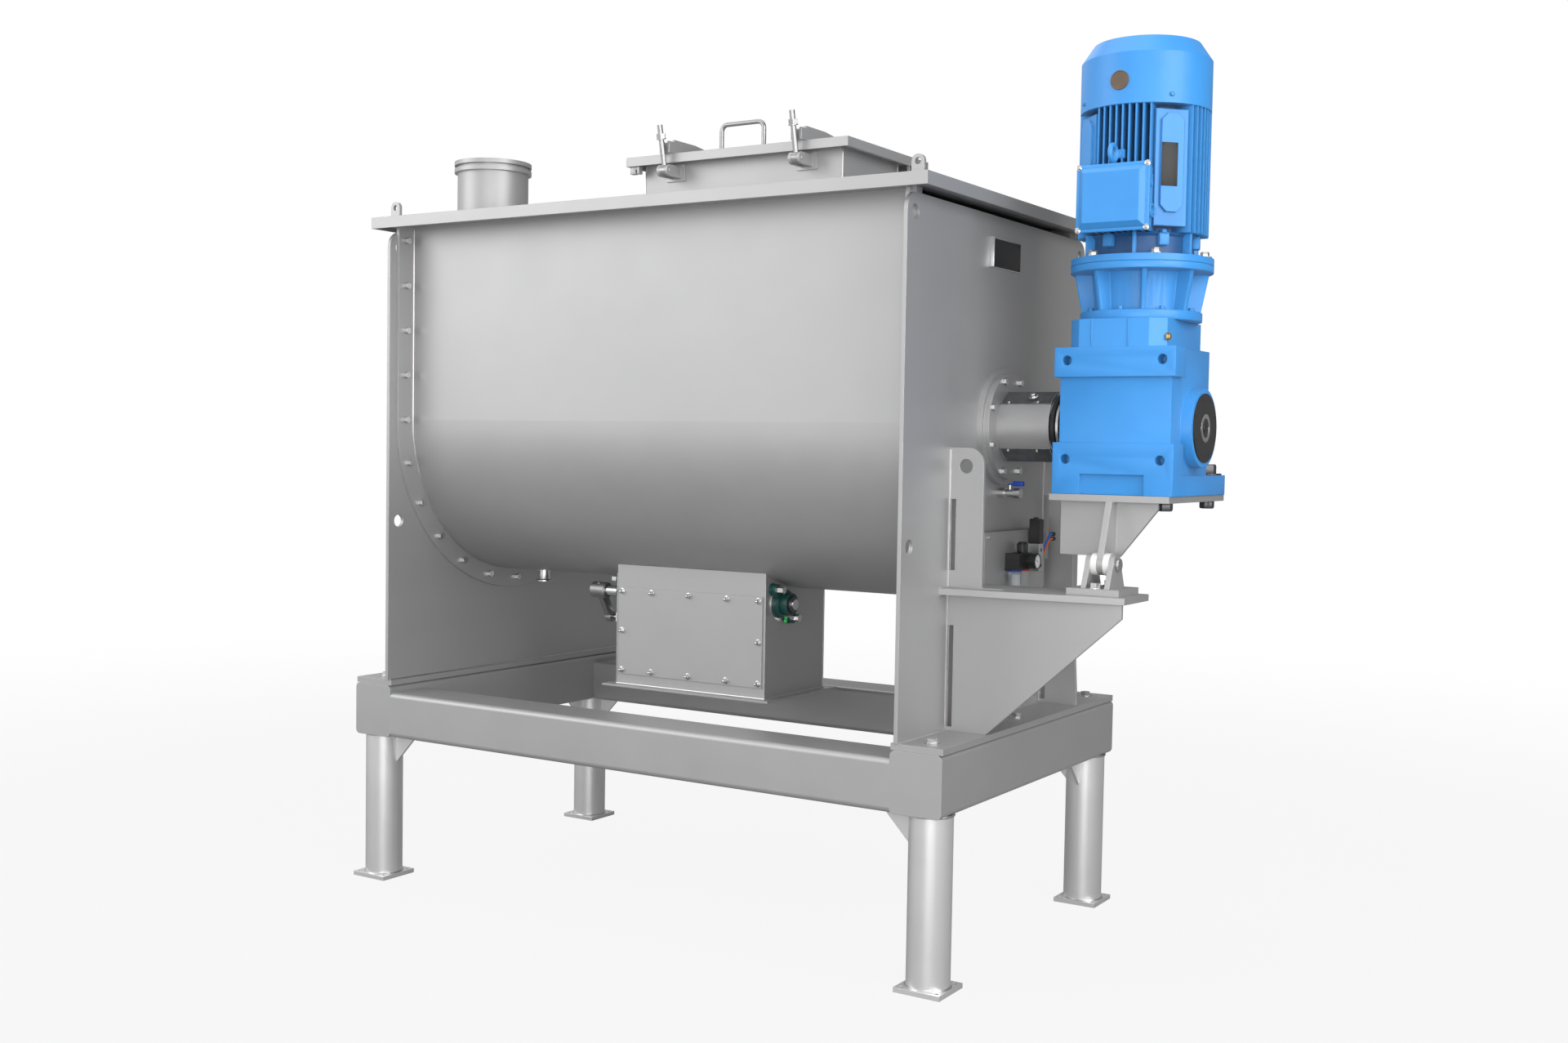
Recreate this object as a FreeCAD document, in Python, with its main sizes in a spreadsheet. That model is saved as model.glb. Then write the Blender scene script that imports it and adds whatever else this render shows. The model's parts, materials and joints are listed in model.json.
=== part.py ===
import FreeCAD, Part
import math
import os
import Sketcher

# A single-shaft paddle mixer with a U-shaped trough on a welded floor frame.
# X runs along the shaft towards the drive, Y to the back, Z up, and the floor is Z = 0.
# Every size is in millimetres, or in degrees where its name says angle.

SIZES = {
    # floor frame
    "base_length": 1944, "base_width": 1090,
    "beam_width": 140, "beam_height": 152, "beam_wall": 5, "beam_round": 14,
    "rail_width": 150, "rail_height": 132,
    "beam_underside": 428,
    "leg_diameter": 108, "leg_wall": 4, "leg_gap_end": 2, "leg_gap_side": 7,
    "foot_side": 124, "foot_thickness": 12, "anchor_spacing": 96, "anchor_hole": 10,
    "gusset_reach": 80, "gusset_drop": 84, "gusset_thickness": 8,
    # end plates
    "plate_setback": 120, "plate_thickness": 10, "plate_height": 1308,
    "plate_round": 45, "sole_thickness": 16, "sole_short": 8,
    "sling_hole": 36, "sling_from_side": 40, "sling_from_top": 46, "middle_hole_height": 467,
    "tab_width": 16, "shaft_opening": 120,
    "sole_bolt_across": 24, "sole_bolt_head": 12, "sole_bolt_from_end": 65, "sole_bolt_from_side": 60,
    # trough
    "shaft_height": 1360, "trough_radius": 460, "trough_wall": 6,
    "end_flange_thickness": 10, "end_flange_width": 60, "flange_nut_across": 17,
    "flange_nut_height": 12, "nut_pitch": 130, "nut_pitch_angle": 15,
    "trough_top": 1922, "top_frame_thickness": 10, "top_frame_end": 50, "top_frame_lip": 6,
    "lid_gasket_thickness": 7, "lid_gasket_width": 40,
    # lid
    "lid_past_end": 16, "lid_past_side": 10, "lid_thickness": 5, "lid_rim": 32, "lid_rim_wall": 4,
    "lug_width": 34, "lug_height": 48, "lug_thickness": 10, "lug_hole": 16, "lug_inset": 50,
    # inlet spigot
    "inlet_x": -634, "inlet_y": -340, "inlet_diameter": 204, "inlet_wall": 3, "inlet_height": 166,
    "inlet_bead": 9, "inlet_bead_height": 12, "inlet_bead_gap": 20,
    # hatch
    "hatch_x": 275, "hatch_length": 690, "hatch_depth": 430, "hatch_front": -432,
    "hatch_thickness": 4, "hatch_rim": 24, "hatch_rim_wall": 4,
    "coaming_length": 616, "coaming_depth": 287, "coaming_front": -392, "coaming_height": 110,
    "coaming_wall": 4, "hatch_gasket_width": 16, "hatch_gasket_thickness": 10,
    "hatch_pivot_y": -82, "hatch_pivot_drop": 30, "hinge_pin": 10, "hinge_slack": 0.05,
    "hinge_slot": 6, "hinge_lug_thickness": 10, "hinge_lug_width": 34, "hinge_side_gap": 2,
    "hinge_lug_above": 16, "hinge_ear_thickness": 8,
    "handle_width": 132, "handle_height": 70, "handle_bar": 12, "handle_bend": 18, "handle_y": -385,
    "rib_height": 36, "rib_thickness": 6, "rib_flat": 95, "rib_length": 385, "rib_toe": 5, "rib_notch": 8,
    # swing bolts that clamp the hatch
    "clamp_spread": 410, "clamp_y": -446, "clamp_height": 78, "swing_rod": 14, "swing_length": 118,
    "swing_eye": 30, "swing_eye_width": 17, "swing_angle": 12.5, "clamp_nut_across": 22,
    "clamp_nut_height": 13, "clamp_nut_lift": 80, "clamp_washer": 25, "clamp_washer_thickness": 2.5,
    "clamp_ear": 8, "clamp_gap": 0.4, "clamp_pin": 10, "clamp_pad_width": 60, "clamp_pad_height": 44,
    "clamp_pad_thickness": 5, "fork_width": 32, "fork_height": 30, "fork_wall": 7, "fork_web": 5,
    "fork_front": 3,
    # discharge box
    "box_length": 512, "box_front": -210, "box_back": 100, "box_wall": 4, "box_bottom": 605,
    "outlet_flange": 30, "outlet_flange_thickness": 6, "outlet_hole": 10, "outlet_hole_inset": 14,
    "panel_length": 496, "panel_height": 252, "panel_bottom": 634, "panel_thickness": 4,
    "panel_opening_margin": 32, "panel_nut_across": 15, "panel_nut_height": 16,
    "panel_nut_inset": 12, "panel_nut_spacing": 130,
    # discharge flap
    "flap_pivot_y": -137, "flap_pivot_drop": 36, "flap_shaft": 30, "flap_thickness": 8,
    "flap_front": -126, "flap_back": 80, "flap_side_gap": 4, "flap_opening_length": 500,
    "flap_edge_gap": 4, "flap_arm_spread": 300, "flap_arm": 10, "flap_hub": 50, "flap_hub_length": 40,
    "flap_shaft_left": 408, "flap_shaft_right": 308, "bearing_fit": 0.05,
    "bearing_pad": 6, "bearing_spacing": 117, "bearing_plate": 14, "bearing_round": 80,
    "bearing_ear": 31, "bearing_boss": 62, "bearing_height": 34, "bearing_bolt_across": 19,
    "bearing_bolt_height": 20,
    "lever_hub": 40, "lever_hub_length": 54, "lever_thickness": 18, "lever_width": 36,
    "lever_angle": 30, "lever_throw": 95, "lever_slot_slack": 2.6, "lever_x": -376,
    "link_pin": 12, "cylinder_x": -334, "fork_block": 26, "cylinder_bore": 40, "cylinder_tube": 50,
    "cylinder_cap": 56, "cylinder_cap_length": 26, "cylinder_length": 214,
    "cylinder_start": 34, "rod_diameter": 16, "piston_length": 14, "piston_fit": 0.1,
    "cylinder_shelf": 8,
    # drain stub
    "drain_from_plate": 137, "drain_diameter": 42, "drain_wall": 3, "drain_drop": 38, "drain_cap": 52,
    "drain_cap_height": 10,
    # rotor
    "shaft_diameter": 90, "shaft_past_plate": 78, "shaft_past_gear": 172, "sleeve_diameter": 104,
    "sleeve_fit": 0.05, "sleeve_overhang": 26, "shaft_nose": 56,
    "arm_diameter": 40, "arm_short": 87, "paddle_gap": 22, "paddle_radial": 130,
    "paddle_length": 190, "paddle_thickness": 8, "paddle_angle": 45, "paddle_end_gap": 142,
    "hub_diameter": 124, "hub_length": 70,
    # shaft seals and the outboard bearing
    "seal_flange": 304, "seal_flange_thickness": 14, "seal_step": 276, "seal_step_thickness": 14,
    "gland_diameter": 130, "gland_length": 46, "seal_bolt_circle": 252, "seal_bolt_across": 17,
    "seal_bolt_head": 8, "seal_bolts": 8,
    "outboard_diameter": 190, "outboard_length": 44, "outboard_cover": 12,
    "guard_radius": 92, "guard_sheet": 3, "guard_length": 144, "guard_angle": 37, "guard_gap": 12,
    # purge valve
    "valve_y": -6, "valve_drop": 174, "valve_length": 62, "valve_body": 26, "valve_stem": 8,
    "valve_stem_height": 8, "valve_grip_length": 46, "valve_grip_width": 14, "valve_grip_thickness": 4,
    # gear unit
    "gear_standoff": 374, "gear_half": 154, "gear_front": 175, "gear_back": 112, "gear_below": 167,
    "gear_band_top": 193, "gear_top": 262, "gear_core_inset": 12, "gear_band_height": 73,
    "gear_low_band": 50, "gear_low_band_height": 77, "gear_hole_spacing": 242, "gear_hole_rise": 40,
    "gear_hole": 24, "gear_hole_depth": 40, "gear_boss": 194, "gear_boss_half": 170,
    "gear_foot_back": 228, "gear_foot_height": 50, "gear_foot_side": 72, "gear_cap_left": 128,
    "gear_cap_right": 118, "gear_cap_chamfer": 34, "cover_diameter": 170, "cover_thickness": 4,
    "cover_hole": 60,
    # lantern between gear unit and motor
    "lantern_foot": 300, "lantern_foot_thickness": 23, "lantern_neck": 224, "lantern_height": 138,
    "lantern_flange": 350, "lantern_flange_thickness": 18, "lantern_bore": 160, "lantern_ribs": 8,
    "lantern_rib": 12,
    # motor
    "motor_flange_thickness": 17, "motor_neck": 252, "motor_neck_height": 55, "motor_core": 236,
    "motor_fin_reach": 159, "motor_fin": 4, "fin_pitch": 16.5, "motor_frame_height": 327,
    "pad_width": 84, "pad_reach": 150, "pad_short": 26, "pad_plate": 58, "pad_plate_rise": 7,
    "pad_plate_short": 46, "pad_plate_corner": 16,
    "fan_cover_diameter": 320, "fan_cover_lap": 22, "fan_cover_side": 124, "fan_cover_top": 262,
    "fan_cover_height": 167, "fan_cover_sheet": 3, "cover_gap": 0.3, "fan_slots": 12, "fan_slot": 12,
    "fan_diameter": 260, "fan_height": 60, "fan_blades": 7, "fan_blade": 4, "motor_shaft": 42,
    "terminal_width": 186, "terminal_height": 164, "terminal_depth": 42, "terminal_gap": 12,
    "terminal_rise": -8, "terminal_round": 14, "terminal_cover": 14, "terminal_inset": 9,
    "eye_ring": 19, "eye_bar": 6, "eye_x": -12,
    # torque support
    "torque_plate_left": 156, "torque_plate_right": 150, "torque_plate_front": 185,
    "torque_plate_back": 236, "torque_plate": 16, "torque_rib": 16, "torque_rib_top_back": 30,
    "torque_pin_y": -212, "torque_pin_drop": 166, "torque_pin": 20, "torque_eye": 52,
    "torque_bush": 54, "torque_bush_width": 15, "torque_fit": 0.05, "cross_plate_y": -150,
    "cross_plate_thickness": 12, "cross_plate_left": 138, "cross_plate_right": 112,
    "cross_plate_low": 134, "cross_plate_foot": 18,
    "ear_thickness": 13, "ear_foot": 100, "clevis_length": 132, "clevis_depth": 134,
    "clevis_thickness": 16, "clevis_bolt_across": 24, "clevis_bolt_head": 14,
    "gear_bolt_across": 30, "gear_bolt_head": 16,
    # bracket on the drive-end plate
    "shelf_top": 955, "shelf_thickness": 16, "shelf_length": 463, "shelf_front": 345,
    "shelf_front_outer": 300, "shelf_back": 136, "bracket_y": 290, "bracket_thickness": 10,
    "bracket_rib_width": 92, "bracket_rib_top": 1303, "bracket_rib_round": 44, "bracket_hole": 36,
    "bracket_hole_drop": 46, "bracket_hole_in": 44, "bracket_foot": 112, "bracket_tip": 34,
    "bracket_tip_length": 455, "slot_width": 18, "slot_low_bottom": 606, "slot_low_top": 860,
    "slot_high_bottom": 998, "slot_high_top": 1175,
    # air service unit on the drive-end plate
    "service_y": -122, "service_width": 385, "service_bottom": 925, "service_height": 160,
    "service_sheet": 3, "service_standoff": 14, "filter_body": 40, "filter_bowl": 34,
    "filter_bowl_length": 58, "filter_pitch": 46, "filter_height": 44, "gauge_diameter": 40,
    "gauge_depth": 24, "knob_diameter": 30, "knob_height": 30, "knob_fit": 0.05,
    "solenoid_width": 30, "solenoid_block": 74, "solenoid_coil": 66, "solenoid_depth": 34,
    "tube_diameter": 6, "tube_run": 28, "tube_pitch": 13, "tube_rise": 48,
}

doc = FreeCAD.newDocument("mixer")
sheet = doc.addObject("Spreadsheet::Sheet", "Size")
for row, (alias, size) in enumerate(SIZES.items(), start=1):
    sheet.set("A%d" % row, alias)
    sheet.set("B%d" % row, str(size))
    sheet.setAlias("B%d" % row, alias)
doc.recompute()


class Length:
    """A size held both as a number and as the sheet formula that it comes from."""

    def __init__(self, formula, number):
        self.formula = formula
        self.number = number

    def __add__(self, other):
        return joined(self, "+", other, self.number + number(other))

    def __radd__(self, other):
        return joined(other, "+", self, number(other) + self.number)

    def __sub__(self, other):
        return joined(self, "-", other, self.number - number(other))

    def __rsub__(self, other):
        return joined(other, "-", self, number(other) - self.number)

    def __mul__(self, other):
        return joined(self, "*", other, self.number * number(other))

    def __rmul__(self, other):
        return joined(other, "*", self, number(other) * self.number)

    def __truediv__(self, other):
        return joined(self, "/", other, self.number / number(other))

    def __neg__(self):
        return joined(0, "-", self, -self.number)


def number(value):
    return value.number if isinstance(value, Length) else float(value)


def formula(value):
    return value.formula if isinstance(value, Length) else "%.9g" % value


def joined(left, sign, right, result):
    return Length("(%s %s %s)" % (formula(left), sign, formula(right)), result)


def cosine(angle):
    return Length("cos(%s)" % formula(angle), math.cos(math.radians(number(angle))))


def sine(angle):
    return Length("sin(%s)" % formula(angle), math.sin(math.radians(number(angle))))


def root(value):
    return Length("sqrt(%s)" % formula(value), math.sqrt(number(value)))


class Sheet:
    """Gives each size of the sheet by its name."""

    def __getattr__(self, alias):
        return Length("Size." + alias, float(sheet.get(alias)))


S = Sheet()
VECTOR = FreeCAD.Vector
NO_TURN = FreeCAD.Rotation()
X_AXIS, Y_AXIS, Z_AXIS = VECTOR(1, 0, 0), VECTOR(0, 1, 0), VECTOR(0, 0, 1)
# turns that lay a solid's own Z along another axis
ALONG = {"x": FreeCAD.Rotation(Y_AXIS, 90), "y": FreeCAD.Rotation(X_AXIS, -90), "z": NO_TURN}
# turns that stand a flat outline in a plane, its thickness towards +X, -Y or +Z
PLANE = {"yz": FreeCAD.Rotation(VECTOR(1, 1, 1), 120), "xz": FreeCAD.Rotation(X_AXIS, 90), "xy": NO_TURN}
# turns that lay a turned profile's centre line along an axis
TURNED = {"x": FreeCAD.Rotation(Z_AXIS, -90), "y": NO_TURN, "z": FreeCAD.Rotation(X_AXIS, 90)}
nodes = []


def turn(axis, angle):
    return FreeCAD.Rotation(axis, number(angle))


def place(thing, at, rotation=NO_TURN):
    """Puts a thing at a point whose coordinates stay bound to the sheet."""
    thing.Placement = FreeCAD.Placement(VECTOR(*[number(value) for value in at]), rotation)
    for axis, value in zip("xyz", at):
        thing.setExpression("Placement.Base." + axis, formula(value))
    return thing


def block(size, at, rotation=NO_TURN):
    """A box from its low corner."""
    box = doc.addObject("Part::Box", "Block")
    for side, value in zip(("Length", "Width", "Height"), size):
        box.setExpression(side, formula(value))
    return place(box, at, rotation)


def between(low, high):
    """A box from its low corner to its high corner."""
    return block([top - bottom for bottom, top in zip(low, high)], low)


def round_bar(radius, length, at, along="z", rotation=None):
    bar = doc.addObject("Part::Cylinder", "Bar")
    bar.setExpression("Radius", formula(radius))
    bar.setExpression("Height", formula(length))
    return place(bar, at, rotation or ALONG[along])


def hexagon(across, height, at, along="z", rotation=None):
    """A hexagonal prism, sized across its flats."""
    prism = doc.addObject("Part::Prism", "Hexagon")
    prism.Polygon = 6
    prism.setExpression("Circumradius", formula(across / math.sqrt(3)))
    prism.setExpression("Height", formula(height))
    return place(prism, at, rotation or ALONG[along])


def fused(parts):
    if len(parts) == 1:
        return parts[0]
    fusion = doc.addObject("Part::MultiFuse", "Fusion")
    fusion.Shapes = parts
    return fusion


def cut(base, tools):
    result = doc.addObject("Part::Cut", "Cut")
    result.Base = base
    result.Tool = fused(tools)
    return result


def group(parts):
    """Separate solids of one kind, kept together."""
    bundle = doc.addObject("Part::Compound", "Group")
    bundle.Links = parts
    return bundle


def node(label, thing):
    """Gives a finished sub-part the name of its file."""
    thing.Label = label
    nodes.append(thing)
    return thing


def sketched(body, corners):
    """A closed outline in the body's own XY plane, each corner bound to the sheet."""
    sketch = body.newObject("Sketcher::SketchObject", "Outline")
    plane = [feature for feature in body.Origin.OriginFeatures if feature.Role == "XY_Plane"][0]
    sketch.AttachmentSupport = [(plane, "")]
    sketch.MapMode = "FlatFace"
    points = [VECTOR(number(x), number(y), 0) for x, y in corners]
    count = len(points)
    for index in range(count):
        sketch.addGeometry(Part.LineSegment(points[index], points[(index + 1) % count]), False)
    for index in range(count):
        sketch.addConstraint(Sketcher.Constraint("Coincident", index, 2, (index + 1) % count, 1))
    for index, corner in enumerate(corners):
        for kind, value in zip(("DistanceX", "DistanceY"), corner):
            place_in_list = sketch.addConstraint(Sketcher.Constraint(kind, -1, 1, index, 1, number(value)))
            if isinstance(value, Length):
                sketch.setExpression("Constraints[%d]" % place_in_list, value.formula)
    return sketch


def plate(corners, thickness, at, plane="xy", rounds=(), rotation=None):
    """A flat piece from its outline. Each of the rounds names corners and their radius."""
    body = doc.addObject("PartDesign::Body", "Plate")
    pad = body.newObject("PartDesign::Pad", "Pad")
    pad.Profile = (sketched(body, corners), [""])
    pad.setExpression("Length", formula(thickness))
    doc.recompute()
    for indexes, radius in rounds:
        spots = [(number(corners[index][0]), number(corners[index][1])) for index in indexes]
        solid = body.Tip
        fillet = body.newObject("PartDesign::Fillet", "Round")
        fillet.Base = (solid, edges_at(solid.Shape, spots))
        fillet.setExpression("Radius", formula(radius))
        body.Tip = fillet
        doc.recompute()
    return place(body, at, rotation or PLANE[plane])


def edges_at(shape, spots):
    """Names of the edges that run along the thickness at given corners of the outline."""
    names = []
    for index, edge in enumerate(shape.Edges, start=1):
        start, end = edge.Vertexes[0].Point, edge.Vertexes[-1].Point
        upright = abs(start.x - end.x) < 1e-6 and abs(start.y - end.y) < 1e-6
        if upright and any(abs(start.x - x) < 1e-3 and abs(start.y - y) < 1e-3 for x, y in spots):
            names.append("Edge%d" % index)
    return names


def revolved(corners, at, along="z", rotation=None):
    """A turned piece from half its section: corners are (radius, distance along the axis)."""
    body = doc.addObject("PartDesign::Body", "Turned")
    sketch = sketched(body, corners)
    revolution = body.newObject("PartDesign::Revolution", "Revolution")
    revolution.Profile = (sketch, [""])
    revolution.ReferenceAxis = (sketch, ["V_Axis"])
    revolution.Angle = 360
    return place(body, at, rotation or TURNED[along])


def bent_bar(name, points, bends, radius):
    """A round bar or tube along straight runs joined by arcs, one bend radius for each inner point."""
    path = []
    start = points[0]
    for index, bend in enumerate(bends, start=1):
        corner = points[index]
        before = (points[index - 1] - corner).normalize()
        after = (points[index + 1] - corner).normalize()
        half = before.getAngle(after) / 2
        reach = bend / math.tan(half)
        middle = (before + after).normalize() * (bend / math.sin(half) - bend)
        path.append(Part.LineSegment(start, corner + before * reach).toShape())
        path.append(Part.Arc(corner + before * reach, corner + middle, corner + after * reach).toShape())
        start = corner + after * reach
    path.append(Part.LineSegment(start, points[-1]).toShape())
    wire = Part.Wire(path)
    end = Part.Wire([Part.Circle(points[0], points[1] - points[0], radius).toShape()])
    bar = doc.addObject("Part::Feature", name)
    bar.Shape = wire.makePipeShell([end], True, False)
    expected = math.pi * radius ** 2 * wire.Length
    if abs(bar.Shape.Volume - expected) > 0.01 * expected:
        raise ValueError("%s has the wrong volume" % name)
    return bar


# Places that many pieces share
end_x = S.base_length / 2 - S.plate_setback
plate_in = end_x - S.plate_thickness
flange_in = plate_in - S.end_flange_thickness
beam_top = S.beam_underside + S.beam_height
sole_top = beam_top + S.sole_thickness
plate_top = sole_top + S.plate_height
axis_z = S.shaft_height
trough_inner = S.trough_radius - S.trough_wall
frame_top = S.trough_top + S.top_frame_thickness
frame_half_x = plate_in + S.top_frame_end
frame_half_y = S.base_width / 2
lid_half_x = frame_half_x + S.lid_past_end
lid_half_y = frame_half_y + S.lid_past_side
gasket_top = frame_top + S.lid_gasket_thickness
lid_top = gasket_top + S.lid_thickness
coaming_top = lid_top + S.coaming_height
hatch_under = coaming_top + S.hatch_gasket_thickness
hatch_top = hatch_under + S.hatch_thickness
hatch_left = S.hatch_x - S.hatch_length / 2
hatch_right = S.hatch_x + S.hatch_length / 2
hatch_back = S.hatch_front + S.hatch_depth
pivot_z = hatch_top - S.hatch_pivot_drop
clamp_z = lid_top + S.clamp_height
flap_z = axis_z - S.trough_radius - S.flap_pivot_drop
drain_x = S.drain_from_plate - end_x
paddle_reach = trough_inner - S.paddle_gap
paddle_station = (plate_in - S.paddle_end_gap) / 2.5
gear_x = end_x + S.gear_standoff
clamp_places = [S.hatch_x - S.clamp_spread / 2, S.hatch_x + S.clamp_spread / 2]


def base_frame():
    """Two closed end beams, two rails between them, and four pipe legs."""
    beam_x = S.base_length / 2 - S.beam_width
    leg_x = S.base_length / 2 - S.leg_diameter / 2 - S.leg_gap_end
    leg_y = S.base_width / 2 - S.leg_diameter / 2 - S.leg_gap_side
    bore = S.leg_diameter / 2 - S.leg_wall
    wall = S.beam_wall
    beams = []
    for side in (-1, 1):
        x = beam_x if side > 0 else -S.base_length / 2
        outline = [(0, 0), (S.beam_width, 0), (S.beam_width, S.beam_height), (0, S.beam_height)]
        solid = plate(outline, S.base_width, (x, S.base_width / 2, S.beam_underside), "xz",
                      [((0, 1, 2, 3), S.beam_round)])
        hollow = between((x + wall, -S.base_width / 2 + wall, S.beam_underside + wall),
                         (x + S.beam_width - wall, S.base_width / 2 - wall, beam_top - wall))
        vents = [round_bar(bore, wall * 2, (side * leg_x, place_y, S.beam_underside - wall / 2))
                 for place_y in (-leg_y, leg_y)]
        beams.append(cut(solid, [hollow] + vents))
    node("base_beams", group(beams))
    rails = []
    for front_y in (-S.base_width / 2, S.base_width / 2 - S.rail_width):
        outline = [(0, 0), (S.rail_width, 0), (S.rail_width, S.rail_height), (0, S.rail_height)]
        solid = plate(outline, beam_x * 2, (-beam_x, front_y, S.beam_underside), "yz",
                      [((0, 1, 2, 3), S.beam_round)])
        hollow = between((-beam_x - wall, front_y + wall, S.beam_underside + wall),
                         (beam_x + wall, front_y + S.rail_width - wall,
                          S.beam_underside + S.rail_height - wall))
        rails.append(cut(solid, [hollow]))
    node("base_rails", group(rails))
    legs = []
    for side_x in (-1, 1):
        for side_y in (-1, 1):
            gussets = leg_gussets(side_x, side_y, leg_x, leg_y)
            legs.append(leg(side_x * leg_x, side_y * leg_y, bore, gussets))
    node("legs", group(legs))


def leg(x, y, bore, gussets):
    pipe = round_bar(S.leg_diameter / 2, S.beam_underside - S.foot_thickness, (x, y, S.foot_thickness))
    half = S.foot_side / 2
    foot = between((x - half, y - half, 0), (x + half, y + half, S.foot_thickness))
    inside = round_bar(bore, S.beam_underside, (x, y, S.foot_thickness))
    holes = []
    for hole_x in (x - S.anchor_spacing / 2, x + S.anchor_spacing / 2):
        for hole_y in (y - S.anchor_spacing / 2, y + S.anchor_spacing / 2):
            holes.append(round_bar(S.anchor_hole / 2, S.foot_thickness * 2,
                                   (hole_x, hole_y, -S.foot_thickness / 2)))
    return cut(fused([pipe, foot] + gussets), [inside] + holes)


def leg_gussets(side_x, side_y, leg_x, leg_y):
    """Two triangles under the frame, one towards each neighbouring leg."""
    radius = S.leg_diameter / 2 - S.leg_wall / 2
    top = S.beam_underside
    half = S.gusset_thickness / 2
    corners = [(0, 0), (-side_x * S.gusset_reach, 0), (0, -S.gusset_drop)]
    lengthwise = plate(corners, S.gusset_thickness,
                       (side_x * (leg_x - radius), side_y * leg_y + half, top), "xz")
    corners = [(0, 0), (-side_y * S.gusset_reach, 0), (0, -S.gusset_drop)]
    crosswise = plate(corners, S.gusset_thickness, (side_x * leg_x - half, side_y * (leg_y - radius), top),
                      "yz")
    return [lengthwise, crosswise]


def end_plates():
    """The plates that close the trough, each welded to a sole that is bolted down on its beam."""
    half = S.base_width / 2
    sling_y = half - S.sling_from_side
    outline = [(-half, 0), (half, 0), (half, S.plate_height), (-half, S.plate_height)]
    for side, label in ((-1, "end_plate_left"), (1, "end_plate_right")):
        x = plate_in if side > 0 else -end_x
        upright = plate(outline, S.plate_thickness, (x, 0, sole_top), "yz", [((2, 3), S.plate_round)])
        holes = [round_bar(S.shaft_opening / 2, S.plate_thickness * 3, (x - S.plate_thickness, 0, axis_z),
                           "x")]
        for y in (-sling_y, sling_y):
            for z in (plate_top - S.sling_from_top, sole_top + S.middle_hole_height):
                holes.append(round_bar(S.sling_hole / 2, S.plate_thickness * 3,
                                       (x - S.plate_thickness, y, z), "x"))
        sole_y = S.base_width / 2 - S.sole_short / 2
        inner = S.base_length / 2 - S.beam_width
        low_x, high_x = (inner, S.base_length / 2) if side > 0 else (-S.base_length / 2, -inner)
        sole = between((low_x, -sole_y, beam_top), (high_x, sole_y, sole_top))
        bolt_x = side * (S.base_length / 2 - S.sole_bolt_from_side)
        for y in sole_bolt_places():
            holes.append(round_bar(S.sole_bolt_across / 3, S.sole_thickness * 2,
                                   (bolt_x, y, beam_top - S.sole_thickness / 2)))
        tabs = []
        for y in (-sling_y, sling_y - S.tab_width):
            tabs.append(between((x, y, plate_top - S.tab_width / 4),
                                (x + S.plate_thickness, y + S.tab_width, S.trough_top)))
        node(label, cut(fused([upright, sole] + tabs), holes))


def sole_bolt_places():
    reach = S.base_width / 2 - S.sole_bolt_from_end
    return [-reach, 0, reach]


def sole_bolts():
    bolts = []
    for side in (-1, 1):
        x = side * (S.base_length / 2 - S.sole_bolt_from_side)
        for y in sole_bolt_places():
            head = hexagon(S.sole_bolt_across, S.sole_bolt_head, (x, y, sole_top))
            shank = round_bar(S.sole_bolt_across / 3, S.sole_thickness, (x, y, beam_top))
            bolts.append(fused([head, shank]))
    return bolts


def u_section(radius, length, x, top):
    """A solid with a half-round bottom and straight sides, along X."""
    barrel = round_bar(radius, length, (x, 0, axis_z), "x")
    sides = between((x, -radius, axis_z), (x + length, radius, top))
    return [barrel, sides]


def trough():
    """Bent shell, welded end flanges and top frame, open at the discharge and at the drain."""
    shell = u_section(S.trough_radius, flange_in * 2, -flange_in, S.trough_top)
    flanges = []
    for x in (-plate_in, flange_in):
        flanges += u_section(S.trough_radius + S.end_flange_width, S.end_flange_thickness, x, S.trough_top)
    frame = between((-frame_half_x, -frame_half_y, S.trough_top), (frame_half_x, frame_half_y, frame_top))
    barrel = round_bar(trough_inner, plate_in * 2, (-plate_in, 0, axis_z), "x")
    inside = between((-plate_in, -trough_inner, axis_z), (plate_in, trough_inner, S.trough_top))
    lip_x = flange_in - S.top_frame_lip
    mouth = between((-lip_x, -trough_inner, S.trough_top - 1), (lip_x, trough_inner, frame_top + 1))
    above = S.trough_radius + S.end_flange_width
    clear = between((-plate_in, -above, S.trough_top), (plate_in, above, frame_top))
    discharge = between((-S.flap_opening_length / 2, S.flap_front - S.flap_edge_gap,
                         axis_z - S.trough_radius - S.trough_wall),
                        (S.flap_opening_length / 2, S.flap_back + S.flap_edge_gap, axis_z))
    drain = round_bar(S.drain_diameter / 2 - S.drain_wall, S.trough_radius,
                      (drain_x, 0, axis_z - S.trough_radius - S.trough_wall))
    bowl = cut(fused(shell + flanges), [clear, barrel, inside, discharge, drain])
    node("trough_shell", fused([bowl, cut(frame, [mouth])]))


def flange_nut_places():
    """Height and side of each nut: down the straight side, then round the bottom."""
    radius = S.trough_radius + S.end_flange_width / 2
    steps = int(90 / number(S.nut_pitch_angle))
    straight = 4
    places = []
    for side in (-1, 1):
        for step in range(straight + 1):
            places.append((side * radius, axis_z + step * S.nut_pitch))
        for step in range(1, steps):
            angle = S.nut_pitch_angle * step
            places.append((side * radius * cosine(angle), axis_z - radius * sine(angle)))
    places.append((0 * radius, axis_z - radius))
    return places


def flange_nuts():
    nuts = []
    for x in (-flange_in, flange_in - S.flange_nut_height):
        for y, z in flange_nut_places():
            nuts.append(hexagon(S.flange_nut_across, S.flange_nut_height, (x, y, z), "x"))
    node("trough_flange_nuts", group(nuts))


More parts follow.
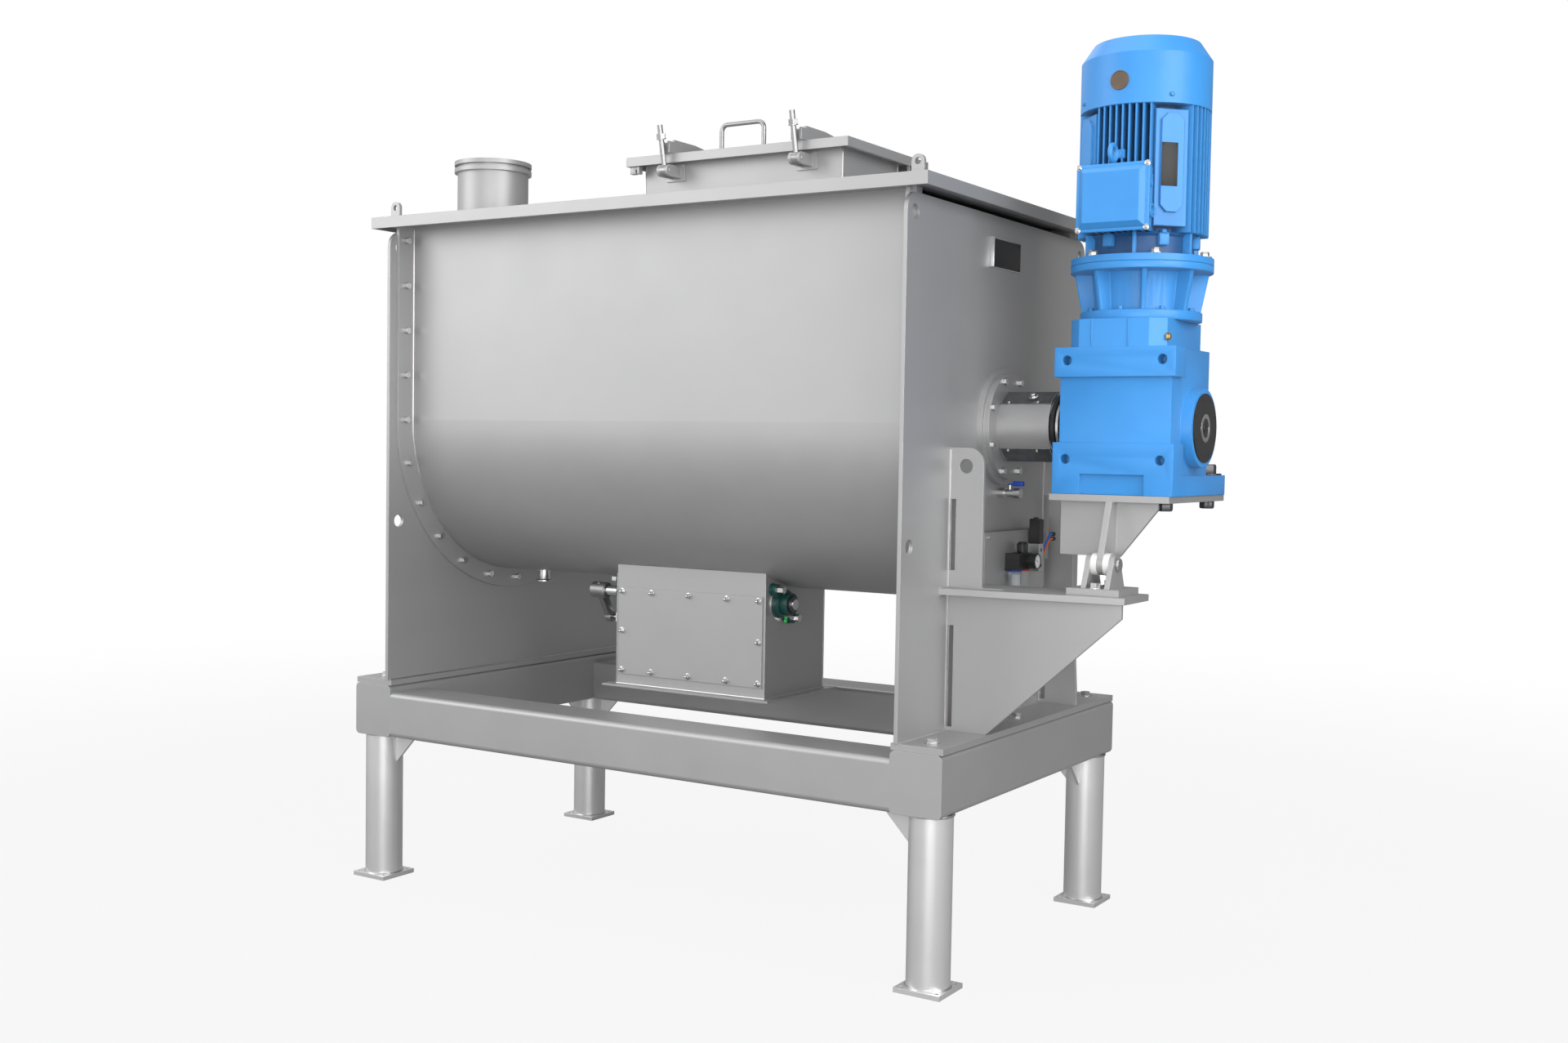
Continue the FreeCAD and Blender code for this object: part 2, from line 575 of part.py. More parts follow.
def lid():
    """A shallow tray, rim down, over the trough's top frame, with its gasket and lifting lugs."""
    half_x, half_y = lid_half_x, lid_half_y
    rim_low = lid_top - S.lid_rim
    tray = between((-half_x, -half_y, rim_low), (half_x, half_y, lid_top))
    wall = S.lid_rim_wall
    under = between((-half_x + wall, -half_y + wall, rim_low - 1), (half_x - wall, half_y - wall, gasket_top))
    coaming_back = S.coaming_front + S.coaming_depth
    throat_x = S.coaming_length / 2 - S.coaming_wall
    throat = between((S.hatch_x - throat_x, S.coaming_front + S.coaming_wall, rim_low),
                     (S.hatch_x + throat_x, coaming_back - S.coaming_wall, lid_top + 1))
    inlet = round_bar(S.inlet_diameter / 2 - S.inlet_wall, S.lid_rim * 2, (S.inlet_x, S.inlet_y, rim_low))
    node("top_lid", cut(tray, [under, throat, inlet]))
    outer_x, outer_y = frame_half_x, frame_half_y
    inner_x, inner_y = outer_x - S.lid_gasket_width, outer_y - S.lid_gasket_width
    outer = between((-outer_x, -outer_y, frame_top), (outer_x, outer_y, gasket_top))
    inner = between((-inner_x, -inner_y, frame_top - 1), (inner_x, inner_y, gasket_top + 1))
    node("lid_gasket", cut(outer, [inner]))


def lifting_lugs():
    lugs = []
    for side_x in (-1, 1):
        for side_y in (-1, 1):
            x = side_x * (lid_half_x - S.lug_inset)
            y = side_y * (lid_half_y - S.lug_inset)
            lugs.append(lifting_lug(x, y))
    return lugs


def lifting_lug(x, y):
    half = S.lug_width / 2
    outline = [(-half, 0), (half, 0), (half, S.lug_height), (-half, S.lug_height)]
    ear = plate(outline, S.lug_thickness, (x, y + S.lug_thickness / 2, lid_top), "xz",
                [((2, 3), half * 0.96)])
    eye = round_bar(S.lug_hole / 2, S.lug_thickness * 2,
                    (x, y - S.lug_thickness, lid_top + S.lug_height - half), "y")
    return cut(ear, [eye])


def inlet_spigot():
    """A pipe stub with two rolled beads for a clamped sleeve."""
    outer = S.inlet_diameter / 2
    inner = outer - S.inlet_wall
    bead = outer + S.inlet_bead
    top = S.inlet_height
    low = top - S.inlet_bead_height
    second = top - S.inlet_bead_gap
    second_low = second - S.inlet_bead_height
    section = [(inner, 0), (outer, 0), (outer, second_low), (bead, second_low), (bead, second),
               (outer, second), (outer, low), (bead, low), (bead, top), (inner, top)]
    node("inlet_spigot", revolved(section, (S.inlet_x, S.inlet_y, lid_top)))


def hatch():
    """Coaming on the lid, and the hatch with its gasket, handle, ribs, forks and hinge ears."""
    half = S.coaming_length / 2
    coaming_back = S.coaming_front + S.coaming_depth
    wall = S.coaming_wall
    outer = between((S.hatch_x - half, S.coaming_front, lid_top),
                    (S.hatch_x + half, coaming_back, coaming_top))
    inner = between((S.hatch_x - half + wall, S.coaming_front + wall, lid_top - 1),
                    (S.hatch_x + half - wall, coaming_back - wall, coaming_top + 1))
    node("hatch_coaming", cut(outer, [inner]))
    spread = (S.hatch_gasket_width - wall) / 2
    seal_outer = between((S.hatch_x - half - spread, S.coaming_front - spread, coaming_top),
                         (S.hatch_x + half + spread, coaming_back + spread, hatch_under))
    inset = wall + spread
    seal_inner = between((S.hatch_x - half + inset, S.coaming_front + inset, coaming_top - 1),
                         (S.hatch_x + half - inset, coaming_back - inset, hatch_under + 1))
    node("hatch_gasket", cut(seal_outer, [seal_inner]))
    tray = between((hatch_left, S.hatch_front, hatch_top - S.hatch_rim), (hatch_right, hatch_back, hatch_top))
    rim = S.hatch_rim_wall
    under = between((hatch_left + rim, S.hatch_front + rim, hatch_top - S.hatch_rim - 1),
                    (hatch_right - rim, hatch_back - rim, hatch_under))
    node("hatch_lid", cut(tray, [under]))
    grip = S.handle_width / 2
    handle_points = [VECTOR(number(S.hatch_x - grip), number(S.handle_y), number(hatch_top)),
                     VECTOR(number(S.hatch_x - grip), number(S.handle_y),
                            number(hatch_top + S.handle_height)),
                     VECTOR(number(S.hatch_x + grip), number(S.handle_y),
                            number(hatch_top + S.handle_height)),
                     VECTOR(number(S.hatch_x + grip), number(S.handle_y), number(hatch_top))]
    bend = number(S.handle_bend)
    node("hatch_handle", bent_bar("Handle", handle_points, [bend, bend], number(S.handle_bar / 2)))
    hatch_fittings()


def hatch_fittings():
    """Clamp ribs and hinge ears of the small lid, and the pins that the ears turn on."""
    ear = S.hinge_ear_thickness
    half = S.hinge_lug_width / 2
    low = pivot_z - half
    radius = S.hinge_pin / 2
    head = S.hinge_side_gap * 2
    reach = S.hatch_rim_wall + ear + S.hinge_side_gap + S.hinge_lug_thickness + S.hinge_side_gap
    left_ear = hatch_left + S.hatch_rim_wall
    right_ear = hatch_right - S.hatch_rim_wall - ear
    outline = [(-half, 0), (half, 0), (half, hatch_under - low), (-half, hatch_under - low)]
    parts = [fused([hatch_rib(x), clamp_fork(x)]) for x in clamp_places]
    pins = []
    for ear_x, start, knob in ((left_ear, left_ear + ear - reach, -head), (right_ear, right_ear, reach)):
        place_of_ear = (ear_x, S.hatch_pivot_y, low)
        blank = plate(outline, ear, place_of_ear, "yz", [((0, 1), half * 0.7)])
        drill = round_bar(radius, reach, (start, S.hatch_pivot_y, pivot_z), "x")
        parts.append(cut(blank, [drill]))
        pin = round_bar(radius, reach, (start, S.hatch_pivot_y, pivot_z), "x")
        cap = round_bar(radius * 1.6, head, (start + knob, S.hatch_pivot_y, pivot_z), "x")
        pins.append(fused([pin, cap]))
    node("hatch_fittings", group(parts))
    node("hinge_pins", group(pins))


def hatch_rib(x):
    """A stiffener on top of the hatch that starts high behind the fork and tapers to the back."""
    length, toe = S.rib_length, S.rib_toe
    outline = [(0, 0), (length, 0), (length, toe), (S.rib_flat, S.rib_height), (0, S.rib_height)]
    start_y = S.hatch_front + S.fork_web
    rib = plate(outline, S.rib_thickness, (x + S.fork_width / 2 - S.rib_thickness, start_y, hatch_top), "yz")
    notch = round_bar(S.rib_notch, S.rib_thickness * 3,
                      (x + S.fork_width / 2 - S.rib_thickness * 2, start_y + S.rib_flat, hatch_top), "x")
    return cut(rib, [notch])


def clamp_fork(x):
    """A channel on the hatch's front edge, open to the front, whose top the nut bears on."""
    half = S.fork_width / 2
    front = S.clamp_y - S.fork_front
    back = S.hatch_front + S.fork_web
    solid = between((x - half, front, hatch_top), (x + half, back, hatch_top + S.fork_height))
    slot = between((x - half + S.fork_wall, front - 1, hatch_top - 1),
                   (x + half - S.fork_wall, S.hatch_front, hatch_top + S.fork_height + 1))
    return cut(solid, [slot])


def hinge_lugs():
    """Upright lugs on the lid, outside the hatch's rim, each with a slot for the hinge pin."""
    half = S.hinge_lug_width / 2
    height = pivot_z + S.hinge_lug_above - lid_top
    radius = S.hinge_pin / 2 + S.hinge_slack
    lugs = []
    for x in (hatch_left - S.hinge_side_gap - S.hinge_lug_thickness, hatch_right + S.hinge_side_gap):
        outline = [(-half, 0), (half, 0), (half, height), (-half, height)]
        lug = plate(outline, S.hinge_lug_thickness, (x, S.hatch_pivot_y, lid_top), "yz",
                    [((2, 3), half * 0.96)])
        start = x - S.hinge_lug_thickness
        through = S.hinge_lug_thickness * 3
        slot_low = pivot_z - S.hinge_slot / 2
        slot = [round_bar(radius, through, (start, S.hatch_pivot_y, slot_low), "x"),
                round_bar(radius, through, (start, S.hatch_pivot_y, slot_low + S.hinge_slot), "x"),
                between((start, S.hatch_pivot_y - radius, slot_low),
                        (start + through, S.hatch_pivot_y + radius, slot_low + S.hinge_slot))]
        lugs.append(cut(lug, slot))
    return lugs


def clamps():
    """Brackets on the coaming and the swing bolts that hang in them, leaned out clear of the forks."""
    brackets = []
    eye_half = S.swing_eye_width / 2
    inner = eye_half + S.clamp_gap
    radius = S.swing_eye / 2
    pad_front = S.coaming_front - S.clamp_pad_thickness
    for x in clamp_places:
        parts = [between((x - S.clamp_pad_width / 2, pad_front, clamp_z - S.clamp_pad_height / 2),
                         (x + S.clamp_pad_width / 2, S.coaming_front, clamp_z + S.clamp_pad_height / 2))]
        for ear_x in (x - inner - S.clamp_ear, x + inner):
            parts.append(between((ear_x, S.clamp_y, clamp_z - radius),
                                 (ear_x + S.clamp_ear, pad_front, clamp_z + radius)))
            parts.append(round_bar(radius, S.clamp_ear, (ear_x, S.clamp_y, clamp_z), "x"))
        pin_half = inner + S.clamp_ear + S.clamp_gap * 4
        parts.append(round_bar(S.clamp_pin / 2, pin_half * 2, (x - pin_half, S.clamp_y, clamp_z), "x"))
        brackets.append(fused(parts))
    for x, label in zip(clamp_places, ("swing_bolt_left", "swing_bolt_right")):
        node(label, swing_bolt(x))
    return brackets


def swing_bolt(x):
    """Eye, rod, washer and nut, leaned outwards from the bracket's pin."""
    lean = turn(X_AXIS, S.swing_angle)
    across = lean.multiply(ALONG["x"])
    tilt_y, tilt_z = sine(S.swing_angle), cosine(S.swing_angle)

    def up(distance):
        return (x, S.clamp_y - distance * tilt_y, clamp_z + distance * tilt_z)

    half = S.swing_eye_width / 2
    eye = round_bar(S.swing_eye / 2, S.swing_eye_width, (x - half, S.clamp_y, clamp_z), rotation=across)
    rod = round_bar(S.swing_rod / 2, S.swing_length, up(0), rotation=lean)
    washer = round_bar(S.clamp_washer / 2, S.clamp_washer_thickness, up(S.clamp_nut_lift), rotation=lean)
    nut = hexagon(S.clamp_nut_across, S.clamp_nut_height, up(S.clamp_nut_lift + S.clamp_washer_thickness),
                  rotation=lean)
    bore = round_bar(S.clamp_pin / 2 + S.bearing_fit, S.swing_eye_width * 2,
                     (x - S.swing_eye_width, S.clamp_y, clamp_z), rotation=across)
    return cut(fused([eye, rod, washer, nut]), [bore])


def discharge_box():
    """The chute under the trough, with its outlet flange and the bolted access panel in front."""
    half = S.box_length / 2
    wall = S.box_wall
    top = axis_z - S.trough_radius + S.box_length / 4
    outer = between((-half, S.box_front, S.box_bottom), (half, S.box_back, top))
    lap = S.outlet_flange
    flange = between((-half - lap, S.box_front - lap, S.box_bottom - S.outlet_flange_thickness),
                     (half + lap, S.box_back + lap, S.box_bottom))
    inner = between((-half + wall, S.box_front + wall, S.box_bottom - S.outlet_flange),
                    (half - wall, S.box_back - wall, top + 1))
    trough_round = round_bar(S.trough_radius, S.box_length * 2, (-S.box_length, 0, axis_z), "x")
    margin = S.panel_opening_margin
    panel_half = S.panel_length / 2
    opening = between((-panel_half + margin, S.box_front - 1, S.panel_bottom + margin),
                      (panel_half - margin, S.box_front + wall + 1, S.panel_bottom + S.panel_height - margin))
    shaft_hole = round_bar(S.flap_shaft / 2 + S.hinge_side_gap, S.box_length * 2,
                           (-S.box_length, S.flap_pivot_y, flap_z), "x")
    holes = []
    hole_y = [S.box_front - lap + S.outlet_hole_inset, S.box_back + lap - S.outlet_hole_inset]
    hole_x = half + lap - S.outlet_hole_inset
    for step in range(-2, 3):
        for y in hole_y:
            holes.append(round_bar(S.outlet_hole / 2, S.outlet_flange_thickness * 3,
                                   (step * hole_x / 2, y, S.box_bottom - S.outlet_flange_thickness * 2)))
    for step in (1, 2):
        for x in (-hole_x, hole_x):
            y = hole_y[0] + (hole_y[1] - hole_y[0]) / 3 * step
            holes.append(round_bar(S.outlet_hole / 2, S.outlet_flange_thickness * 3,
                                   (x, y, S.box_bottom - S.outlet_flange_thickness * 2)))
    hollow = cut(fused([outer, flange]), [inner, trough_round, opening, shaft_hole] + holes)
    node("discharge_box", fused([hollow] + cylinder_shelf()))
    node("access_panel", between((-panel_half, S.box_front - S.panel_thickness, S.panel_bottom),
                                 (panel_half, S.box_front, S.panel_bottom + S.panel_height)))
    nuts = []
    side_x = panel_half - S.panel_nut_inset
    for z in (S.panel_bottom + S.panel_nut_inset, S.panel_bottom + S.panel_height / 2,
              S.panel_bottom + S.panel_height - S.panel_nut_inset):
        middle = z.number == (S.panel_bottom + S.panel_height / 2).number
        places = [-side_x, side_x] if middle else [-side_x, -S.panel_nut_spacing, 0, S.panel_nut_spacing,
                                                   side_x]
        for x in places:
            nuts.append(hexagon(S.panel_nut_across, S.panel_nut_height,
                                (x, S.box_front - S.panel_thickness - S.panel_nut_height, z), "y"))
    node("panel_nuts", group(nuts))


def flap():
    """The curved door in the trough's bottom, its shaft, bearings and outside lever."""
    half = S.flap_opening_length / 2 - S.flap_side_gap
    radius_out = trough_inner + S.flap_thickness
    length = half * 2
    ring = cut(round_bar(radius_out, length, (-half, 0, axis_z), "x"),
               [round_bar(trough_inner, length * 2, (-length, 0, axis_z), "x")])
    window = between((-length, S.flap_front, axis_z - radius_out * 1.1), (length, S.flap_back, axis_z))
    door = doc.addObject("Part::Common", "Door")
    door.Base = ring
    door.Tool = window
    arms = []
    for x in (-S.flap_arm_spread / 2, S.flap_arm_spread / 2):
        web = between((x - S.flap_arm / 2, S.flap_pivot_y, flap_z - S.flap_hub / 2),
                      (x + S.flap_arm / 2, S.flap_back / 2, axis_z - S.trough_radius / 2))
        hub = round_bar(S.flap_hub / 2, S.flap_hub_length,
                        (x - S.flap_hub_length / 2, S.flap_pivot_y, flap_z), "x")
        bowl = round_bar(radius_out, S.flap_hub_length * 2, (x - S.flap_hub_length, 0, axis_z), "x")
        arms.append(cut(fused([web, hub]), [bowl]))
    bore = round_bar(S.flap_shaft / 2, S.box_length, (-S.box_length / 2, S.flap_pivot_y, flap_z), "x")
    node("flap_door", cut(fused([door] + arms), [bore]))
    shaft_length = S.flap_shaft_left + S.flap_shaft_right
    node("flap_shaft", round_bar(S.flap_shaft / 2, shaft_length,
                                 (-S.flap_shaft_left, S.flap_pivot_y, flap_z), "x"))
    bearings, bolts = [], []
    for side in (-1, 1):
        housing, pair = flange_bearing(side)
        bearings.append(housing)
        bolts += pair
    node("flap_bearings", group(bearings))
    node("flap_lever", lever())
    return bolts


def flange_bearing(side):
    """A two-bolt flange bearing on a pad outside the box's side wall, its bolts on a diagonal."""
    wall_x = side * S.box_length / 2
    reach = S.bearing_spacing / 2 * math.sqrt(0.5)

    def outward(depth):
        return wall_x + side * depth

    def slab(near, far, radius, y, z):
        low = outward(far) if side < 0 else outward(near)
        return round_bar(radius, far - near, (low, y, z), "x")

    y, z = S.flap_pivot_y, flap_z
    near, far = S.bearing_pad, S.bearing_pad + S.bearing_plate
    spots = [(y - reach, z + reach), (y + reach, z - reach)]
    pad = [slab(0 * near, near, S.bearing_ear / 2 + 2, *spot) for spot in spots]
    pad.append(slab(0 * near, near, S.bearing_round / 2 + 2, y, z))
    parts = pad + [slab(near, far, S.bearing_round / 2, y, z),
                   slab(near, S.bearing_pad + S.bearing_height, S.bearing_boss / 2, y, z)]
    parts += [slab(near, far, S.bearing_ear / 2, *spot) for spot in spots]
    offset = S.bearing_ear / 2 * math.sqrt(0.5)
    outline = [(-reach - offset, reach - offset), (reach - offset, -reach - offset),
               (reach + offset, -reach + offset), (-reach + offset, reach + offset)]
    web_low = outward(far) if side < 0 else outward(0 * near)
    parts.append(plate(outline, far, (web_low, y, z), "yz"))
    bore_reach = S.bearing_pad + S.bearing_height * 2
    bore_low = outward(bore_reach) if side < 0 else outward(-S.bearing_pad)
    bore = round_bar(S.flap_shaft / 2 + S.bearing_fit, bore_reach + S.bearing_pad, (bore_low, y, z), "x")
    bolts = []
    for spot in spots:
        bolt_low = outward(far + S.bearing_bolt_height) if side < 0 else outward(far)
        bolts.append(hexagon(S.bearing_bolt_across, S.bearing_bolt_height, (bolt_low,) + spot, "x"))
    return cut(fused(parts), [bore]), bolts


def lever():
    """A cast lever on the flap shaft, leaned back, with a slot for the rod's cross pin."""
    angle = S.lever_angle
    hang = turn(X_AXIS, angle)
    low = S.lever_x - S.lever_thickness / 2
    half = S.lever_width / 2
    drop = S.lever_throw * cosine(angle)
    slot_half = S.link_pin / 2 + S.lever_slot_slack
    hub = round_bar(S.lever_hub / 2, S.lever_hub_length,
                    (S.lever_x - S.lever_hub_length / 2, S.flap_pivot_y, flap_z), "x")
    tip = S.lever_throw + half
    outline = [(-half, 0), (half, 0), (half * 0.9, -tip), (-half * 0.9, -tip)]
    arm = plate(outline, S.lever_thickness, (low, S.flap_pivot_y, flap_z),
                rounds=[((2, 3), half * 0.8)],
                rotation=hang.multiply(PLANE["yz"]))
    slot_outline = [(-slot_half, -drop + slot_half), (slot_half, -drop + slot_half),
                    (slot_half, -S.lever_throw - slot_half), (-slot_half, -S.lever_throw - slot_half)]
    slot = plate(slot_outline, S.lever_thickness * 3,
                 (low - S.lever_thickness, S.flap_pivot_y, flap_z),
                 rounds=[((0, 1, 2, 3), slot_half * 0.95)], rotation=hang.multiply(PLANE["yz"]))
    bore = round_bar(S.flap_shaft / 2, S.box_length, (-S.box_length, S.flap_pivot_y, flap_z), "x")
    return cut(fused([hub, arm]), [slot, bore])


def cylinder_shelf():
    """A welded shelf with a brace, beside the box, that carries the air cylinder."""
    half = S.cylinder_cap / 2
    top = flap_z - S.lever_throw * cosine(S.lever_angle) - half
    front = S.flap_pivot_y + S.lever_throw * sine(S.lever_angle) + S.cylinder_start
    side = -S.box_length / 2
    under = top - S.cylinder_shelf
    reach = S.cylinder_x - half
    shelf = between((reach, front, under), (side, S.box_back, top))
    outline = [(0, 0), (0, -half * 2), (reach - side, 0)]
    return [shelf, plate(outline, S.cylinder_shelf, (side, front + S.cylinder_cap_length, under), "xz")]


def actuator():
    """The air cylinder beside the box, and its rod with the cross pin."""
    x = S.cylinder_x
    z = flap_z - S.lever_throw * cosine(S.lever_angle)
    pin_y = S.flap_pivot_y + S.lever_throw * sine(S.lever_angle)
    front = pin_y + S.cylinder_start
    half = S.cylinder_cap / 2
    back = front + S.cylinder_length
    cap = S.cylinder_cap_length
    caps = [between((x - half, start, z - half), (x + half, start + cap, z + half))
            for start in (front, back - cap)]
    tube = round_bar(S.cylinder_tube / 2, S.cylinder_length, (x, front, z), "y")
    bore = round_bar(S.cylinder_bore / 2, S.cylinder_length - cap * 2, (x, front + cap, z), "y")
    rod_hole = round_bar(S.rod_diameter / 2 + S.bearing_fit, cap * 2, (x, front - cap / 2, z), "y")
    node("air_cylinder", cut(fused(caps + [tube]), [bore, rod_hole]))
    block_half = S.fork_block / 2
    head = between((x - block_half, pin_y - block_half, z - block_half),
                   (x + block_half, pin_y + block_half, z + block_half))
    rod_end = back - cap - S.piston_length / 2
    rod = round_bar(S.rod_diameter / 2, rod_end - pin_y, (x, pin_y, z), "y")
    piston = round_bar(S.cylinder_bore / 2 - S.piston_fit, S.piston_length,
                       (x, rod_end - S.piston_length, z), "y")
    pin_tip = S.lever_x - S.lever_thickness / 2 - S.hinge_side_gap * 2
    pin = round_bar(S.link_pin / 2, x - pin_tip, (pin_tip, pin_y, z), "x")
    washer = round_bar(S.link_pin, S.hinge_side_gap, (pin_tip, pin_y, z), "x")
    node("cylinder_rod", fused([head, rod, piston, pin, washer]))


def drain():
    outer = S.drain_diameter / 2
    cap = S.drain_cap / 2
    low = axis_z - S.trough_radius - S.drain_drop
    height = S.drain_drop + S.trough_wall
    section = [(0, 0), (cap, 0), (cap, S.drain_cap_height), (outer, S.drain_cap_height), (outer, height),
               (outer - S.drain_wall, height), (outer - S.drain_wall, S.drain_cap_height / 2),
               (0, S.drain_cap_height / 2)]
    stub = revolved(section, (drain_x, 0, low))
    bowl = round_bar(S.trough_radius, S.drain_cap * 2, (drain_x - S.drain_cap, 0, axis_z), "x")
    node("drain_stub", cut(stub, [bowl]))


def rotor():
    """Mixing shaft with hubs, cross arms and pitched paddles, and the drive end in the gear unit."""
    radius = S.shaft_diameter / 2
    gear_left = gear_x - S.gear_boss_half
    shaft_start = end_x + S.shaft_past_plate
    shaft = [round_bar(radius, gear_left + shaft_start, (-shaft_start, 0, axis_z), "x"),
             round_bar(S.sleeve_diameter / 2, S.gear_boss_half * 2 + S.sleeve_overhang - S.cover_thickness,
                       (gear_left - S.sleeve_overhang, 0, axis_z), "x")]
    shaft.append(round_bar(S.shaft_nose / 2, S.shaft_past_gear, (gear_x, 0, axis_z), "x"))
    stations = [(step - 2.5) * paddle_station for step in range(6)]
    for x in stations:
        shaft.append(round_bar(S.hub_diameter / 2, S.hub_length, (x - S.hub_length / 2, 0, axis_z), "x"))
    node("mixer_shaft", fused(shaft))
    arms, paddles = [], []
    for index, x in enumerate(stations):
        for side in (0, 180):
            spin = index * 60 + side
            arm, paddle = arm_and_paddle(x, spin, 1 if index < 3 else -1)
            arms.append(arm)
            paddles.append(paddle)
    node("paddle_arms", group(arms))
    node("mixing_paddles", group(paddles))


def arm_and_paddle(x, spin, pitch):
    """One arm out of its hub at an angle about the shaft, and the pitched paddle in its slotted end."""
    around = turn(X_AXIS, spin)
    tilted = around.multiply(turn(Z_AXIS, pitch * number(S.paddle_angle)))
    towards_y, towards_z = -math.sin(math.radians(spin)), math.cos(math.radians(spin))
    arm = round_bar(S.arm_diameter / 2, (paddle_reach - S.arm_short), (x, 0, axis_z), rotation=around)

    def blade():
        inner = paddle_reach - S.paddle_radial
        length_x = tilted.multVec(X_AXIS)
        thick = tilted.multVec(Y_AXIS)
        at = []
        for index, base in enumerate((x, 0, axis_z)):
            direction = (0, towards_y, towards_z)[index]
            at.append(base - S.paddle_length / 2 * length_x[index] - S.paddle_thickness / 2 * thick[index]
                      + inner * direction)
        return block((S.paddle_length, S.paddle_thickness, S.paddle_radial), at, tilted)

    hub = round_bar(S.hub_diameter / 2, S.hub_length * 2, (x - S.hub_length, 0, axis_z), "x")
    return cut(arm, [hub, blade()]), blade()


def shaft_ends():
    """Seal flanges at both plates, the gland, the outboard bearing, and the guard at the drive end."""
    ring, step = S.seal_flange / 2, S.seal_step / 2
    bore = S.shaft_diameter / 2 + S.bearing_fit
    first, second = S.seal_flange_thickness, S.seal_flange_thickness + S.seal_step_thickness
    gland = S.gland_diameter / 2
    section = [(bore, 0), (ring, 0), (ring, first), (step, first), (step, second), (gland, second),
               (gland, second + S.gland_length), (bore, second + S.gland_length)]
    node("seal_housing", revolved(section, (end_x, 0, axis_z), "x"))
    outboard = S.outboard_diameter / 2
    depth = second + S.outboard_length
    end = depth + S.outboard_cover + S.guard_gap
    section = [(bore, 0), (ring, 0), (ring, first), (step, first), (step, second), (outboard, second),
               (outboard, depth), (outboard * 0.8, end), (0, end), (0, end - S.outboard_cover),
               (bore, end - S.outboard_cover)]
    node("outboard_bearing", revolved(section, (-end_x, 0, axis_z), rotation=turn(Z_AXIS, 90)))
    bolts = []
    for index in range(int(number(S.seal_bolts))):
        angle = 360 / number(S.seal_bolts) * (index + 0.5)
        y, z = S.seal_bolt_circle / 2 * cosine(angle), axis_z + S.seal_bolt_circle / 2 * sine(angle)
        for x in (end_x + second, -end_x - second - S.seal_bolt_head):
            bolts.append(hexagon(S.seal_bolt_across, S.seal_bolt_head, (x, y, z), "x"))
    guard()
    purge_valve()
    return bolts


def guard():
    """A bent sheet in front of the shaft with a flat window above and below it."""
    outer = S.guard_radius
    start = end_x + S.seal_flange_thickness + S.seal_step_thickness
    angle = S.guard_angle
    edge_y, edge_z = outer * cosine(angle), outer * sine(angle)
    tube = cut(round_bar(outer, S.guard_length, (start, 0, axis_z), "x"),
               [round_bar(outer - S.guard_sheet, S.guard_length * 2,
                          (start - S.guard_length / 2, 0, axis_z), "x")])
    front = between((start, -outer * 1.1, axis_z - edge_z),
                    (start + S.guard_length, -edge_y * 0.9, axis_z + edge_z))
    sheet_front = doc.addObject("Part::Common", "GuardSheet")
    sheet_front.Base = tube
    sheet_front.Tool = front
    node("shaft_guard", sheet_front)
    windows = []
    thick = S.guard_sheet
    for side in (-1, 1):
        outline = [(-edge_y, side * edge_z), (-edge_y * 0.35, side * outer * 0.98),
                   (-edge_y * 0.35, side * (outer * 0.98 - thick)), (-edge_y + thick * 1.3, side * edge_z)]
        pane = plate(outline if side > 0 else outline[::-1], S.guard_length, (start, 0, axis_z), "yz")
        windows.append(cut(pane, [round_bar(outer * 2, S.guard_length,
                                            (start, 0, axis_z + side * outer * 5), "x")]))
    node("guard_windows", group(windows))


def purge_valve():
    z = axis_z - S.valve_drop
    half = S.valve_body / 2
    section = [(0, 0), (half, 0), (half, S.valve_length * 0.3), (half * 0.8, S.valve_length * 0.3),
               (half * 0.8, S.valve_length * 0.7), (half, S.valve_length * 0.7), (half, S.valve_length),
               (0, S.valve_length)]
    body = revolved(section, (end_x, S.valve_y, z), "x")
    stem_x = end_x + S.valve_length / 2
    stem = round_bar(S.valve_stem / 2, half + S.valve_stem_height, (stem_x, S.valve_y, z))
    node("purge_valve", fused([body, stem]))
    top = z + half + S.valve_stem_height + S.hinge_slack
    half_grip = S.valve_grip_width / 2
    grip = between((stem_x - half_grip, S.valve_y - half_grip, top),
                   (stem_x - half_grip + S.valve_grip_length, S.valve_y + half_grip,
                    top + S.valve_grip_thickness))
    node("purge_valve_handle", grip)


